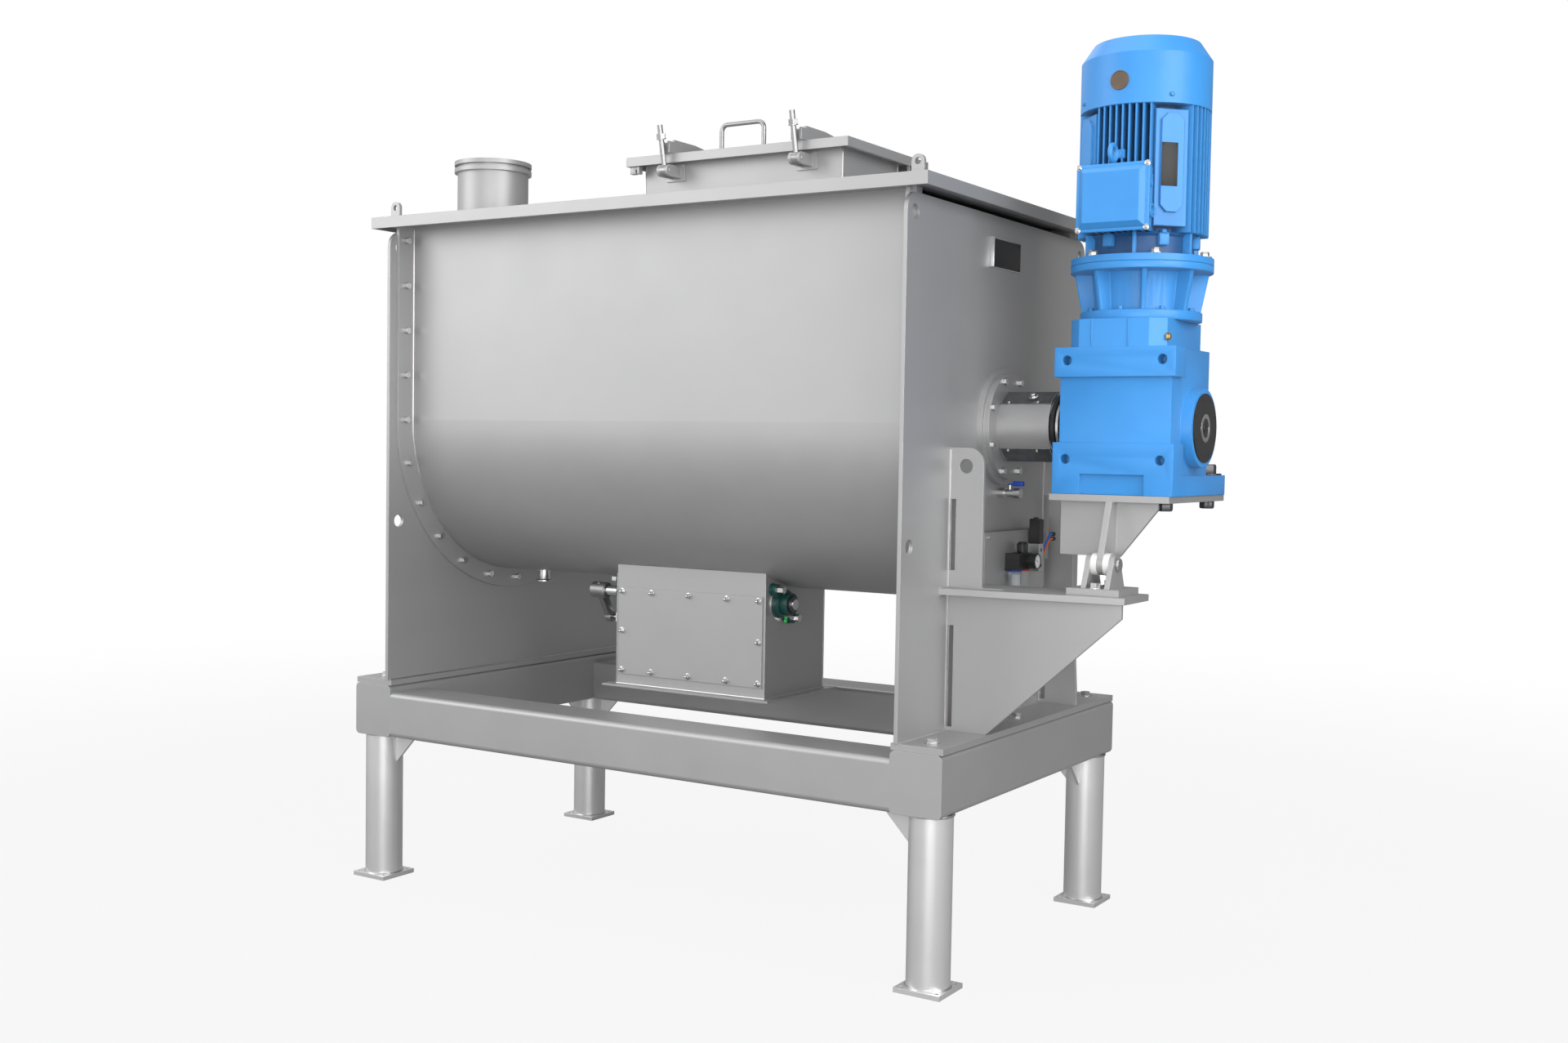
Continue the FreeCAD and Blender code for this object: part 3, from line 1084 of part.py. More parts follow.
def gear_unit():
    """Helical bevel gear unit, hollow shaft along X, with its feet, bands, bosses and side covers."""
    x = gear_x
    low = axis_z - S.gear_below
    inset = S.gear_core_inset
    core = between((x - S.gear_half + inset, -S.gear_front + inset, low),
                   (x + S.gear_half - inset, S.gear_back, axis_z + S.gear_band_top))
    top_band = between((x - S.gear_half, -S.gear_front, axis_z + S.gear_band_top - S.gear_band_height),
                       (x + S.gear_half, -S.gear_front + S.gear_foot_side, axis_z + S.gear_band_top))
    low_band = between((x - S.gear_half, -S.gear_front, low + S.gear_low_band),
                       (x + S.gear_half, -S.gear_front + S.gear_foot_side,
                        low + S.gear_low_band + S.gear_low_band_height))
    feet = []
    for near in (x - S.gear_half, x + S.gear_half - S.gear_foot_side):
        feet.append(between((near, -S.gear_front, low),
                            (near + S.gear_foot_side, S.gear_foot_back, low + S.gear_foot_height)))
    chamfer = S.gear_cap_chamfer
    left, right, front, back = S.gear_cap_left, S.gear_cap_right, S.gear_front - inset / 2, S.gear_back
    outline = [(-left + chamfer, -front), (right - chamfer, -front), (right, -front + chamfer), (right, back),
               (-left, back), (-left, -front + chamfer)]
    cap = plate(outline, S.gear_top - S.gear_band_top, (x, 0, axis_z + S.gear_band_top), "xy")
    boss = round_bar(S.gear_boss / 2, S.gear_boss_half * 2, (x - S.gear_boss_half, 0, axis_z), "x")
    bore = round_bar(S.sleeve_diameter / 2 + S.sleeve_fit, S.gear_boss_half * 4,
                     (x - S.gear_boss_half * 2, 0, axis_z), "x")
    holes = [bore]
    centre_z = axis_z + S.gear_hole_rise
    half = S.gear_hole_spacing / 2
    for hole_x in (x - half, x + half):
        for hole_z in (centre_z - half, centre_z + half):
            holes.append(round_bar(S.gear_hole / 2, S.gear_hole_depth * 2,
                                   (hole_x, -S.gear_front - S.gear_hole_depth, hole_z), "y"))
    node("gearbox_housing", cut(fused([core, top_band, low_band, cap, boss] + feet), holes))
    section = [(S.cover_hole / 2, 0), (S.cover_diameter / 2, 0), (S.cover_diameter / 2, S.cover_thickness),
               (S.cover_hole / 2, S.cover_thickness)]
    right_cover = revolved(section, (x + S.gear_boss_half, 0, axis_z), "x")
    shaft_clear = S.sleeve_diameter / 2 + S.hinge_slack
    section = [(shaft_clear, 0), (S.cover_diameter / 2, 0), (S.cover_diameter / 2, S.cover_thickness),
               (shaft_clear, S.cover_thickness)]
    left_cover = revolved(section, (x - S.gear_boss_half - S.cover_thickness, 0, axis_z), "x")
    node("output_covers", group([left_cover, right_cover]))


def lantern_and_motor():
    """Coupling lantern and the finned motor standing on it, with fan, cover, terminal box and eye."""
    x = gear_x
    low = axis_z + S.gear_top
    foot, neck, flange = S.lantern_foot / 2, S.lantern_neck / 2, S.lantern_flange / 2
    height = S.lantern_height
    bore = S.lantern_bore / 2
    collar = height - S.lantern_flange_thickness
    section = [(bore, 0), (foot, 0), (foot, S.lantern_foot_thickness), (neck, S.lantern_foot_thickness),
               (neck * 1.08, collar), (flange, collar), (flange, height), (bore, height)]
    body = revolved(section, (x, 0, low))
    ribs = []
    for index in range(int(number(S.lantern_ribs))):
        angle = 360 / number(S.lantern_ribs) * (index + 0.5)
        outline = [(neck * 0.9, S.lantern_foot_thickness), (foot * 0.97, S.lantern_foot_thickness),
                   (flange * 0.94, collar), (neck * 0.9, collar)]
        spun = turn(Z_AXIS, angle)
        side = spun.multVec(VECTOR(0, number(S.lantern_rib) / 2, 0))
        ribs.append(plate(outline, S.lantern_rib, (x + side.x, side.y, low),
                          rotation=spun.multiply(PLANE["xz"])))
    node("lantern", fused([body] + ribs))
    motor(low + height)


def motor(low):
    x = gear_x
    flange, neck, core = S.lantern_flange / 2, S.motor_neck / 2, S.motor_core / 2
    first = S.motor_flange_thickness
    frame_low = first + S.motor_neck_height
    frame_high = frame_low + S.motor_frame_height
    bore = S.motor_shaft / 2 + S.bearing_fit
    seat = S.fan_cover_diameter / 2 - S.fan_cover_sheet - S.cover_gap
    seat_low = frame_high - S.fan_cover_lap - S.cover_gap
    section = [(bore, 0), (flange, 0), (flange, first), (neck, first), (neck, frame_low - first / 2),
               (neck * 1.06, frame_low), (core, frame_low), (core, seat_low), (seat, seat_low),
               (seat, frame_high), (bore, frame_high)]
    body = revolved(section, (x, 0, low))
    fins = motor_fins(x, low + frame_low, low + seat_low)
    box_low = low + frame_low + S.terminal_rise
    half = S.terminal_width / 2
    inner_y = S.motor_fin_reach + S.terminal_gap
    margin = S.terminal_round * 1.5
    throat = between((x - half + margin, -inner_y, box_low + S.terminal_height / 3),
                     (x + half - margin, -core * 0.8, box_low + S.terminal_height - margin))
    eye_x = x + S.eye_x
    eye_z = box_low + S.terminal_height + S.eye_ring + S.eye_bar * 1.5
    shaft_hole = round_bar(bore, frame_high * 2, (x, 0, low - frame_high / 2))
    eye_hole = round_bar(S.eye_bar + S.bearing_fit, core / 2, (eye_x, -S.motor_fin_reach * 1.1, eye_z), "y")
    eye_pad = between((eye_x - S.eye_ring, -S.motor_fin_reach, eye_z - S.eye_bar * 1.5),
                      (eye_x + S.eye_ring, -core * 0.8, eye_z + S.eye_bar * 2))
    node("motor_frame", cut(fused([body, throat, eye_pad] + fins), [shaft_hole, eye_hole]))
    depth, cover, inset = S.terminal_depth, S.terminal_cover, S.terminal_inset
    parts = []
    for edge, thick, front in ((0 * inset, depth, inner_y), (inset, cover, inner_y + depth)):
        wide, tall = half - edge, S.terminal_height - edge
        outline = [(-wide, edge), (wide, edge), (wide, tall), (-wide, tall)]
        parts.append(plate(outline, thick, (x, -front, box_low), "xz", [((0, 1, 2, 3), S.terminal_round)]))
    node("terminal_box", fused(parts))
    fan_and_cover(x, low + frame_high)
    eye = doc.addObject("Part::Torus", "EyeRing")
    eye.setExpression("Radius1", formula(S.eye_ring))
    eye.setExpression("Radius2", formula(S.eye_bar))
    eye_y = S.motor_fin_reach + S.eye_ring + S.eye_bar
    place(eye, (eye_x, -eye_y, eye_z), ALONG["x"])
    stud = round_bar(S.eye_bar, S.eye_ring * 2, (eye_x, -eye_y + S.eye_ring, eye_z), "y")
    collar = round_bar(S.eye_bar * 2, S.eye_bar, (eye_x, -S.motor_fin_reach - S.eye_bar, eye_z), "y")
    node("lifting_eye", fused([eye, stud, collar]))


def motor_fins(x, low, high):
    """Parallel cooling fins on four sides within one circle, and a raised pad at each corner."""
    reach, deep = S.motor_fin_reach, S.motor_core / 3
    parts = []
    for quarter in range(4):
        spun = turn(Z_AXIS, 90 * quarter)
        for step in range(-4, 5):
            offset = step * S.fin_pitch
            tip = root(reach * reach - offset * offset)
            parts.append(spun_block(x, spun, offset - S.motor_fin / 2, deep, S.motor_fin, tip - deep, low,
                                    high))
        corner = turn(Z_AXIS, 90 * quarter + 45)
        wide = S.pad_width
        pad_low, pad_high = low + S.pad_short / 2, high - S.pad_short / 2
        parts.append(spun_block(x, corner, -wide / 2, deep, wide, S.pad_reach - deep, pad_low, pad_high))
        half, chamfer = S.pad_plate / 2, S.pad_plate_corner
        bottom, top = low + S.pad_plate_short, high - S.pad_plate_short / 2
        outline = [(-half + chamfer, bottom), (half - chamfer, bottom), (half, bottom + chamfer),
                   (half, top - chamfer), (half - chamfer, top), (-half + chamfer, top),
                   (-half, top - chamfer), (-half, bottom + chamfer)]
        face = corner.multVec(VECTOR(0, -1, 0))
        at = (x + S.pad_reach * face.x, S.pad_reach * face.y, 0)
        parts.append(plate(outline, S.pad_plate_rise, at, rotation=corner.multiply(PLANE["xz"])))
    return parts


def spun_block(x, spun, side, near, wide, deep, low, high):
    """A box that stands between two heights, from a distance in front of the centre, turned about it."""
    along, out = spun.multVec(X_AXIS), spun.multVec(VECTOR(0, -1, 0))
    far = near + deep
    at = (x + side * along.x + far * out.x, side * along.y + far * out.y, low)
    return block((wide, deep, high - low), at, spun)


def fan_and_cover(x, top):
    low = top - S.fan_cover_lap
    outer, crown = S.fan_cover_diameter / 2, S.fan_cover_top / 2
    thick = S.fan_cover_sheet
    side, height = S.fan_cover_side, S.fan_cover_height
    section = [(outer - thick, 0), (outer, 0), (outer, side), (crown, height), (0, height),
               (0, height - thick),
               (crown - thick, height - thick), (outer - thick, side - thick)]
    cover = revolved(section, (x, 0, low))
    slots = []
    count = int(number(S.fan_slots))
    for index in range(count):
        spun = turn(Z_AXIS, 360 / count * index)
        side_step = spun.multVec(VECTOR(0, -number(S.fan_slot) / 2, 0))
        start = spun.multVec(VECTOR(number(crown) * 0.35, 0, 0))
        slots.append(block((crown * 0.5, S.fan_slot, thick * 4),
                           (x + side_step.x + start.x, side_step.y + start.y, low + height - thick * 2),
                           spun))
    node("fan_cover", cut(cover, slots))
    fan_low = top + S.fan_cover_lap
    hub = round_bar(S.motor_shaft, S.fan_height, (x, 0, fan_low))
    disc = round_bar(S.fan_diameter / 2, S.fan_blade, (x, 0, fan_low))
    shaft_low = axis_z + S.gear_top + S.lantern_foot_thickness
    shaft = round_bar(S.motor_shaft / 2, fan_low + S.fan_height - shaft_low, (x, 0, shaft_low))
    blades = []
    blade_count = int(number(S.fan_blades))
    for index in range(blade_count):
        spun = turn(Z_AXIS, 360 / blade_count * index)
        side_step = spun.multVec(VECTOR(0, -number(S.fan_blade) / 2, 0))
        blades.append(block((S.fan_diameter / 2, S.fan_blade, S.fan_height),
                            (x + side_step.x, side_step.y, fan_low), spun))
    node("motor_fan", fused([hub, disc, shaft] + blades))


def torque_support():
    """Plate under the gear unit, its webs, the bushed pin and the clevis on the bracket's shelf."""
    x = gear_x
    top = axis_z - S.gear_below
    under = top - S.torque_plate
    table = between((x - S.torque_plate_left, -S.torque_plate_front, under),
                    (x + S.torque_plate_right, S.torque_plate_back, top))
    pin_z = top - S.torque_pin_drop
    pin_y = S.torque_pin_y
    eye = S.torque_eye / 2
    half = S.torque_rib / 2
    outline = [(-S.torque_plate_front, under), (S.torque_rib_top_back, under), (pin_y + eye, pin_z),
               (pin_y - eye, pin_z)]
    web = plate(outline, S.torque_rib, (x - half, 0, 0), "yz")
    ring = round_bar(eye, S.torque_rib, (x - half, pin_y, pin_z), "x")
    cross_low = under - S.cross_plate_low
    outline = [(x - S.cross_plate_left, under), (x - S.cross_plate_left, cross_low),
               (x + S.cross_plate_foot, cross_low), (x + S.cross_plate_right, under - S.torque_rib),
               (x + S.cross_plate_right, under)]
    cross = plate(outline[::-1], S.cross_plate_thickness,
                  (0, S.cross_plate_y + S.cross_plate_thickness, 0), "xz")
    pin_radius = S.torque_pin / 2
    hole = round_bar(pin_radius + S.torque_fit, S.torque_rib * 3, (x - S.torque_rib * 1.5, pin_y, pin_z), "x")
    node("torque_arm", cut(fused([table, web, ring, cross]), [hole]))
    bush = S.torque_bush / 2
    section = [(pin_radius + S.torque_fit, 0), (bush, 0), (bush, S.torque_bush_width),
               (pin_radius + S.torque_fit, S.torque_bush_width)]
    bushes = [revolved(section, (start, pin_y, pin_z), "x")
              for start in (x - half - S.torque_bush_width, x + half)]
    node("torque_bushes", group(bushes))
    ear_in = half + S.torque_bush_width
    pin_half = ear_in + S.ear_thickness + S.hinge_side_gap
    pin = round_bar(pin_radius, pin_half * 2, (x - pin_half, pin_y, pin_z), "x")
    head = round_bar(pin_radius * 1.5, S.hinge_side_gap * 3, (x + pin_half, pin_y, pin_z), "x")
    fasteners = [fused([pin, head])]
    base_low, base_high = S.shelf_top, S.shelf_top + S.clevis_thickness
    base = between((x - S.clevis_length / 2, pin_y - S.clevis_depth / 2, base_low),
                   (x + S.clevis_length / 2, pin_y + S.clevis_depth / 2, base_high))
    ears = []
    for ear_x in (x - ear_in - S.ear_thickness, x + ear_in):
        foot = S.ear_foot / 2
        outline = [(-foot, base_high), (foot, base_high), (eye, pin_z), (-eye, pin_z)]
        ears.append(plate(outline, S.ear_thickness, (ear_x, pin_y, 0), "yz"))
        ears.append(round_bar(eye, S.ear_thickness, (ear_x, pin_y, pin_z), "x"))
    pin_hole = round_bar(pin_radius + S.torque_fit, S.clevis_length * 2,
                         (x - S.clevis_length, pin_y, pin_z), "x")
    node("torque_clevis", cut(fused([base] + ears), [pin_hole]))
    inset = S.clevis_bolt_across * 0.8
    for y in (pin_y - S.clevis_depth / 2 + inset, pin_y + S.clevis_depth / 2 - inset):
        fasteners.append(hexagon(S.clevis_bolt_across, S.clevis_bolt_head, (x, y, base_high)))
        fasteners.append(hexagon(S.clevis_bolt_across, S.clevis_bolt_head,
                                 (x, y, S.shelf_top - S.shelf_thickness - S.clevis_bolt_head)))
    foot_top = top + S.gear_foot_height
    foot_x = S.gear_half - S.gear_foot_side / 2
    for y in (S.gear_foot_back - S.gear_bolt_across,):
        for bolt_x in (x - foot_x, x + foot_x):
            fasteners.append(hexagon(S.gear_bolt_across, S.gear_bolt_head, (bolt_x, y, foot_top)))
            fasteners.append(hexagon(S.gear_bolt_across, S.gear_bolt_head,
                                     (bolt_x, y, under - S.gear_bolt_head)))
    return fasteners


def drive_bracket():
    """Shelf and upright ribs welded to the drive-end plate."""
    start = end_x
    low = S.shelf_top - S.shelf_thickness
    outline = [(start, -S.shelf_front), (start + S.shelf_length, -S.shelf_front_outer),
               (start + S.shelf_length, -S.shelf_back), (start, -S.shelf_back)]
    node("bracket_shelf", plate(outline, S.shelf_thickness, (0, 0, low), "xy"))
    half = S.bracket_thickness / 2
    ribs = []
    outline = [(start, S.shelf_top), (start + S.bracket_rib_width, S.shelf_top),
               (start + S.bracket_rib_width, S.bracket_rib_top), (start, S.bracket_rib_top)]
    upper = plate(outline, S.bracket_thickness, (0, -S.bracket_y + half, 0), "xz",
                  [((2,), S.bracket_rib_round)])
    ribs.append(cut(upper, [bracket_hole(-S.bracket_y),
                            bracket_slot(-S.bracket_y, S.slot_high_bottom, S.slot_high_top)]))
    tip = start + S.bracket_tip_length
    outline = [(start, sole_top), (start + S.bracket_foot, sole_top), (tip, low - S.bracket_tip),
               (tip, low), (start, low)]
    lower = plate(outline, S.bracket_thickness, (0, -S.bracket_y + half, 0), "xz")
    ribs.append(cut(lower, [bracket_slot(-S.bracket_y, S.slot_low_bottom, S.slot_low_top)]))
    outline = [(start, sole_top), (start + S.bracket_foot, sole_top),
               (start + S.bracket_rib_width, S.shelf_top),
               (start + S.bracket_rib_width, S.bracket_rib_top), (start, S.bracket_rib_top)]
    rear = plate(outline, S.bracket_thickness, (0, S.bracket_y + half, 0), "xz",
                 [((3,), S.bracket_rib_round)])
    ribs.append(cut(rear, [bracket_hole(S.bracket_y),
                           bracket_slot(S.bracket_y, S.slot_low_bottom, S.slot_low_top),
                           bracket_slot(S.bracket_y, S.slot_high_bottom, S.slot_high_top)]))
    node("bracket_ribs", group(ribs))


def bracket_hole(y):
    return round_bar(S.bracket_hole / 2, S.bracket_thickness * 3,
                     (end_x + S.bracket_hole_in, y - S.bracket_thickness * 1.5,
                      S.bracket_rib_top - S.bracket_hole_drop), "y")


def bracket_slot(y, low, high):
    return between((end_x - 1, y - S.bracket_thickness, low),
                   (end_x + S.slot_width, y + S.bracket_thickness, high))


def air_service():
    """Sheet bracket on the plate with filter, regulator, gauge and solenoid valve."""
    out = end_x + S.service_standoff
    sheet_out = out + S.service_sheet
    y, low = S.service_y, S.service_bottom
    right, high = y + S.service_width, low + S.service_height
    face = between((out, y, low), (sheet_out, right, high))
    returns = [between((end_x, start, low), (out, start + S.service_sheet, high))
               for start in (y, right - S.service_sheet)]
    node("service_panel", fused([face] + returns))
    body, bowl = S.filter_body, S.filter_bowl / 2
    first_y = y + S.service_width * 0.376
    head_low = low + S.service_height * 0.36
    centre_x = sheet_out + body / 2
    units, bowls = [], []
    for index in range(2):
        centre_y = first_y + index * S.filter_pitch
        units.append(between((sheet_out, centre_y - body / 2, head_low),
                             (sheet_out + body, centre_y + body / 2, head_low + S.filter_height)))
        bowls.append(round_bar(bowl, S.filter_bowl_length,
                               (centre_x, centre_y, head_low - S.filter_bowl_length)))
    units.append(between((sheet_out + body * 0.25, first_y, head_low + S.filter_height * 0.3),
                         (sheet_out + body * 0.75, first_y + S.filter_pitch,
                          head_low + S.filter_height * 0.7)))
    last_y = first_y + S.filter_pitch
    node("filter_regulator", fused(units))
    node("filter_bowls", group(bowls))
    node("regulator_knob", round_bar(S.knob_diameter / 2, S.knob_height,
                                     (centre_x, last_y, head_low + S.filter_height + S.knob_fit)))
    gauge_z = head_low + S.filter_height / 2
    node("pressure_gauge", round_bar(S.gauge_diameter / 2, S.gauge_depth,
                                     (sheet_out + body, last_y, gauge_z), "x"))
    valve_y = y + S.service_width * 0.696
    wide = S.solenoid_width
    valve_low = low + S.service_height * 0.3
    valve = between((sheet_out, valve_y, valve_low),
                    (sheet_out + S.solenoid_depth, valve_y + wide, valve_low + S.solenoid_block))
    coil = between((sheet_out + S.service_sheet, valve_y + S.service_sheet, valve_low + S.solenoid_block),
                   (sheet_out + S.solenoid_depth, valve_y + wide - S.service_sheet,
                    valve_low + S.solenoid_block + S.solenoid_coil))
    node("solenoid_valve", group([valve, coil]))
    tube_x = sheet_out + S.solenoid_depth / 2
    start_y, end_y = valve_y + wide, S.bracket_y - S.bracket_thickness / 2
    for index in range(2):
        low_z = valve_low + S.solenoid_block - S.tube_pitch * (index + 2)
        high_z = low_z + S.tube_rise
        route = [(start_y, low_z), (start_y + S.tube_run, low_z), (end_y - S.tube_run, high_z),
                 (end_y, high_z)]
        air_tube(index, [VECTOR(number(tube_x), number(py), number(pz)) for py, pz in route])


def air_tube(index, route):
    """A bent tube from the valve's side to the rear rib, its bend radius set by its straight runs."""
    bends = []
    for before, corner, after in zip(route, route[1:], route[2:]):
        straight = min((corner - before).Length, (after - corner).Length)
        half_turn = (math.pi - (before - corner).getAngle(after - corner)) / 2
        bends.append(0.45 * straight / math.tan(half_turn))
    print("air_tube_%d bend radii" % (index + 1), [round(bend, 1) for bend in bends])
    node("air_tube_%d" % (index + 1), bent_bar("Tube", route, bends, number(S.tube_diameter / 2)))


base_frame()
end_plates()
trough()
flange_nuts()
lid()
inlet_spigot()
hatch()
node("lid_brackets", group(lifting_lugs() + hinge_lugs() + clamps()))
discharge_box()
flap_fasteners = flap()
actuator()
drain()
rotor()
seal_fasteners = shaft_ends()
gear_unit()
lantern_and_motor()
torque_fasteners = torque_support()
drive_bracket()
air_service()
node("frame_fasteners", group(sole_bolts() + seal_fasteners + flap_fasteners + torque_fasteners))

doc.recompute()
for thing in doc.Objects:
    if "Invalid" in thing.State or "Error" in thing.State:
        raise ValueError("%s could not be built" % thing.Label)
os.makedirs("parts", exist_ok=True)
for thing in nodes:
    shape = thing.Shape
    if shape.isNull() or not shape.isValid() or not shape.Solids:
        raise ValueError("%s is not a valid solid" % thing.Label)
    print(thing.Label, len(shape.Solids), "solids, volume", round(shape.Volume / 1000), "cm3")
    shape.exportStep(os.path.join("parts", thing.Label + ".step"))
print(len(nodes), "sub-parts")
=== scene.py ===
# %% [markdown]
# # A fluidized zone mixer
#
# This lesson dresses the solids of a stainless steel mixer: a U-shaped trough between two
# end plates, on a base with four round legs, with a blue gear unit and motor at the right.
# The solids come from the part's own source. Here they get their finishes, softened edges,
# welds, screws and small fittings, and then a camera and soft light show them.

# %% Load the solids
import json
import math

import bpy
from mathutils import Matrix, Vector

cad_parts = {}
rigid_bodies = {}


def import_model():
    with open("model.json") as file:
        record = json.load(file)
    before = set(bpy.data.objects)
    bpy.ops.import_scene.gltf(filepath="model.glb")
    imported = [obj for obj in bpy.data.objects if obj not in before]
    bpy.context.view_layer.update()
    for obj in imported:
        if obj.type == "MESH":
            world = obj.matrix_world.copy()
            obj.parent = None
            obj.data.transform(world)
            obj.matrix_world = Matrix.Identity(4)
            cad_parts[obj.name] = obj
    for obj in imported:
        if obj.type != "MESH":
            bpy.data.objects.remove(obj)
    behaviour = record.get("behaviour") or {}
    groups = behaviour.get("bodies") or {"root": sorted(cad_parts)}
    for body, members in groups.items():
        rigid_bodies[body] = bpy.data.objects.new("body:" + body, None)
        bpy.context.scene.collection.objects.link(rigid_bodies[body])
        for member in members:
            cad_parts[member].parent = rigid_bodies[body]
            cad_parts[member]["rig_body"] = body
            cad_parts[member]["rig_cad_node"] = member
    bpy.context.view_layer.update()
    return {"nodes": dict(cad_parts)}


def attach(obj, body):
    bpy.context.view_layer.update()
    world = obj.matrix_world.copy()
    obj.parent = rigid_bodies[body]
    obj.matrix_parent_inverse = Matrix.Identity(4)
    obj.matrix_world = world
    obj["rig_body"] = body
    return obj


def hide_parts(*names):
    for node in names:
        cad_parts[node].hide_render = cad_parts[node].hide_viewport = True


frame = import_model()
solids = frame["nodes"]
bpy.ops.object.select_all(action="DESELECT")

# %% [markdown]
# ## The camera
#
# The camera stands in front of the machine, to the right, at about chest height, and looks a
# little down. Its place was worked out from edges whose sizes are known, such as the square
# foot plates. The lens is a short telephoto, so upright edges stay nearly parallel.

# %% Camera
CAMERA_PLACE = Vector((2.685, -3.952, 1.293))
YAW, PITCH, ROLL = math.radians(32.39), math.radians(-2.55), math.radians(0.95)
LENS, FILM_WIDTH = 37.56, 36
MIDDLE = Vector((0, 0, 1.2))


def camera_axes(yaw, pitch, roll):
    """Right, up and forward of a camera that looks along +Y when all angles are 0."""
    forward = Vector((-math.sin(yaw) * math.cos(pitch), math.cos(yaw) * math.cos(pitch),
                      math.sin(pitch)))
    level = Vector((math.cos(yaw), math.sin(yaw), 0))
    upright = level.cross(forward)
    right = level * math.cos(roll) + upright * math.sin(roll)
    up = upright * math.cos(roll) - level * math.sin(roll)
    return right, up, forward


right, up, forward = camera_axes(YAW, PITCH, ROLL)
bpy.ops.object.camera_add()
camera = bpy.context.object
camera.name = "studio_camera"
camera.data.lens, camera.data.sensor_width = LENS, FILM_WIDTH
looking = Matrix((right, up, -forward)).transposed().to_4x4()
camera.matrix_world = Matrix.Translation(CAMERA_PLACE) @ looking
bpy.context.scene.camera = camera
bpy.context.scene.view_settings.view_transform = "Standard"
print("camera", round((CAMERA_PLACE - MIDDLE).length, 2), "m from the machine's middle")

# %% [markdown]
# ## Writing finishes as sums
#
# A finish is a net of shader nodes. A small class holds one socket of it and lets it be
# added, multiplied and compared like a number: each sum adds its Math node. Colours go
# through Mix nodes, because a Math node turns them grey.

# %% A socket that can be used in sums
class Wire:
    """One output socket of a finish. Sums and products of wires add Math nodes."""

    def __init__(self, finish, socket):
        self.finish = finish
        self.socket = socket

    def maths(self, operation, *numbers):
        values = dict(enumerate(numbers))
        return self.finish.add("ShaderNodeMath", {"operation": operation}, values)

    def __add__(self, other):
        return self.maths("ADD", self, other)

    __radd__ = __add__

    def __mul__(self, other):
        return self.maths("MULTIPLY", self, other)

    __rmul__ = __mul__

    def __sub__(self, other):
        return self.maths("SUBTRACT", self, other)

    def __rsub__(self, other):
        return self.maths("SUBTRACT", other, self)

    def above(self, level, soft=0.05):
        """0 below a level and 1 above it, with a soft step between."""
        settings = {"interpolation_type": "SMOOTHSTEP"}
        limits = {"Value": self, "From Min": level - soft, "From Max": level + soft}
        return self.finish.add("ShaderNodeMapRange", settings, limits)


def opaque(colour):
    """A colour with full cover. A wire already carries one."""
    return colour if isinstance(colour, Wire) else (*colour, 1.0)


class Finish:
    """A material, or the room round the machine, and the nodes in it."""

    def __init__(self, name, kind="materials"):
        self.owner = getattr(bpy.data, kind).new(name)
        self.owner.use_nodes = True
        self.tree = self.owner.node_tree
        self.tree.nodes.clear()

    def add(self, kind, settings=None, values=None, output=0):
        """Adds a node, sets it up, joins or sets its inputs, and gives the output as a wire."""
        made = self.tree.nodes.new(kind)
        for key, value in (settings or {}).items():
            setattr(made, key, value)
        for key, value in (values or {}).items():
            if isinstance(value, Wire):
                self.tree.links.new(value.socket, made.inputs[key])
            else:
                made.inputs[key].default_value = value
        return Wire(self, made.outputs[output]) if len(made.outputs) else made

    def here(self):
        """The object's own coordinates."""
        return self.add("ShaderNodeTexCoord", output="Object")

    def place(self, scale=(1, 1, 1), turn=(0, 0, 0), shift=(0, 0, 0)):
        """The object's own coordinates, stretched, turned or moved."""
        values = {"Vector": self.here(), "Scale": scale, "Rotation": turn, "Location": shift}
        return self.add("ShaderNodeMapping", {}, values)

    def of_vectors(self, operation, *vectors):
        """A number worked out from vectors, such as a length or a dot product."""
        values = dict(enumerate(vectors))
        return self.add("ShaderNodeVectorMath", {"operation": operation}, values, "Value")

    def ray(self, kind):
        """1 where the light that is traced is of this kind."""
        return self.add("ShaderNodeLightPath", output=f"Is {kind} Ray")

    def noise(self, scale, detail, where=None, rough=0.5):
        values = {"Vector": where or self.here(), "Scale": scale, "Detail": detail,
                  "Roughness": rough}
        return self.add("ShaderNodeTexNoise", {}, values)

    def mix(self, share, first, second):
        """The first colour where share is 0 and the second where it is 1."""
        values = {0: share, 6: opaque(first), 7: opaque(second)}
        return self.add("ShaderNodeMix", {"data_type": "RGBA"}, values, 2)

    def rounded(self, radius):
        """The normal, rounded near edges."""
        return self.add("ShaderNodeBevel", {"samples": 4}, {"Radius": radius})

    def edge_share(self, rounded):
        """How far a rounded normal turns from the flat one: 0 on faces and more on edges."""
        flat = self.add("ShaderNodeNewGeometry", output="Normal")
        return (1 - self.of_vectors("DOT_PRODUCT", rounded, flat)) * 3.0

    def bump(self, height, depth, strength, normal=None):
        """A relief from a height, laid on a normal."""
        values = {"Height": height, "Distance": depth, "Strength": strength}
        if normal:
            values["Normal"] = normal
        return self.add("ShaderNodeBump", {}, values)

    def done(self, **values):
        """Ends the net in a Principled shader. Underscores in names stand for spaces."""
        sockets = {key.replace("_", " "): value for key, value in values.items()}
        shader = self.add("ShaderNodeBsdfPrincipled", {}, sockets)
        self.add("ShaderNodeOutputMaterial", {}, {"Surface": shader})
        return self.owner


print("finishes can be written as sums")

# %% [markdown]
# ## Bead-blasted stainless steel
#
# Most of the machine is stainless plate, blasted with glass beads after welding. That leaves
# an even grey satin with only soft gradients. Up close there is a fine grain, faint clouds
# where the blasting was heavier, marks from wiping, and brighter edges that have rubbed.

# %% Blasted steel
WORN_EDGE = (0.72, 0.72, 0.73)


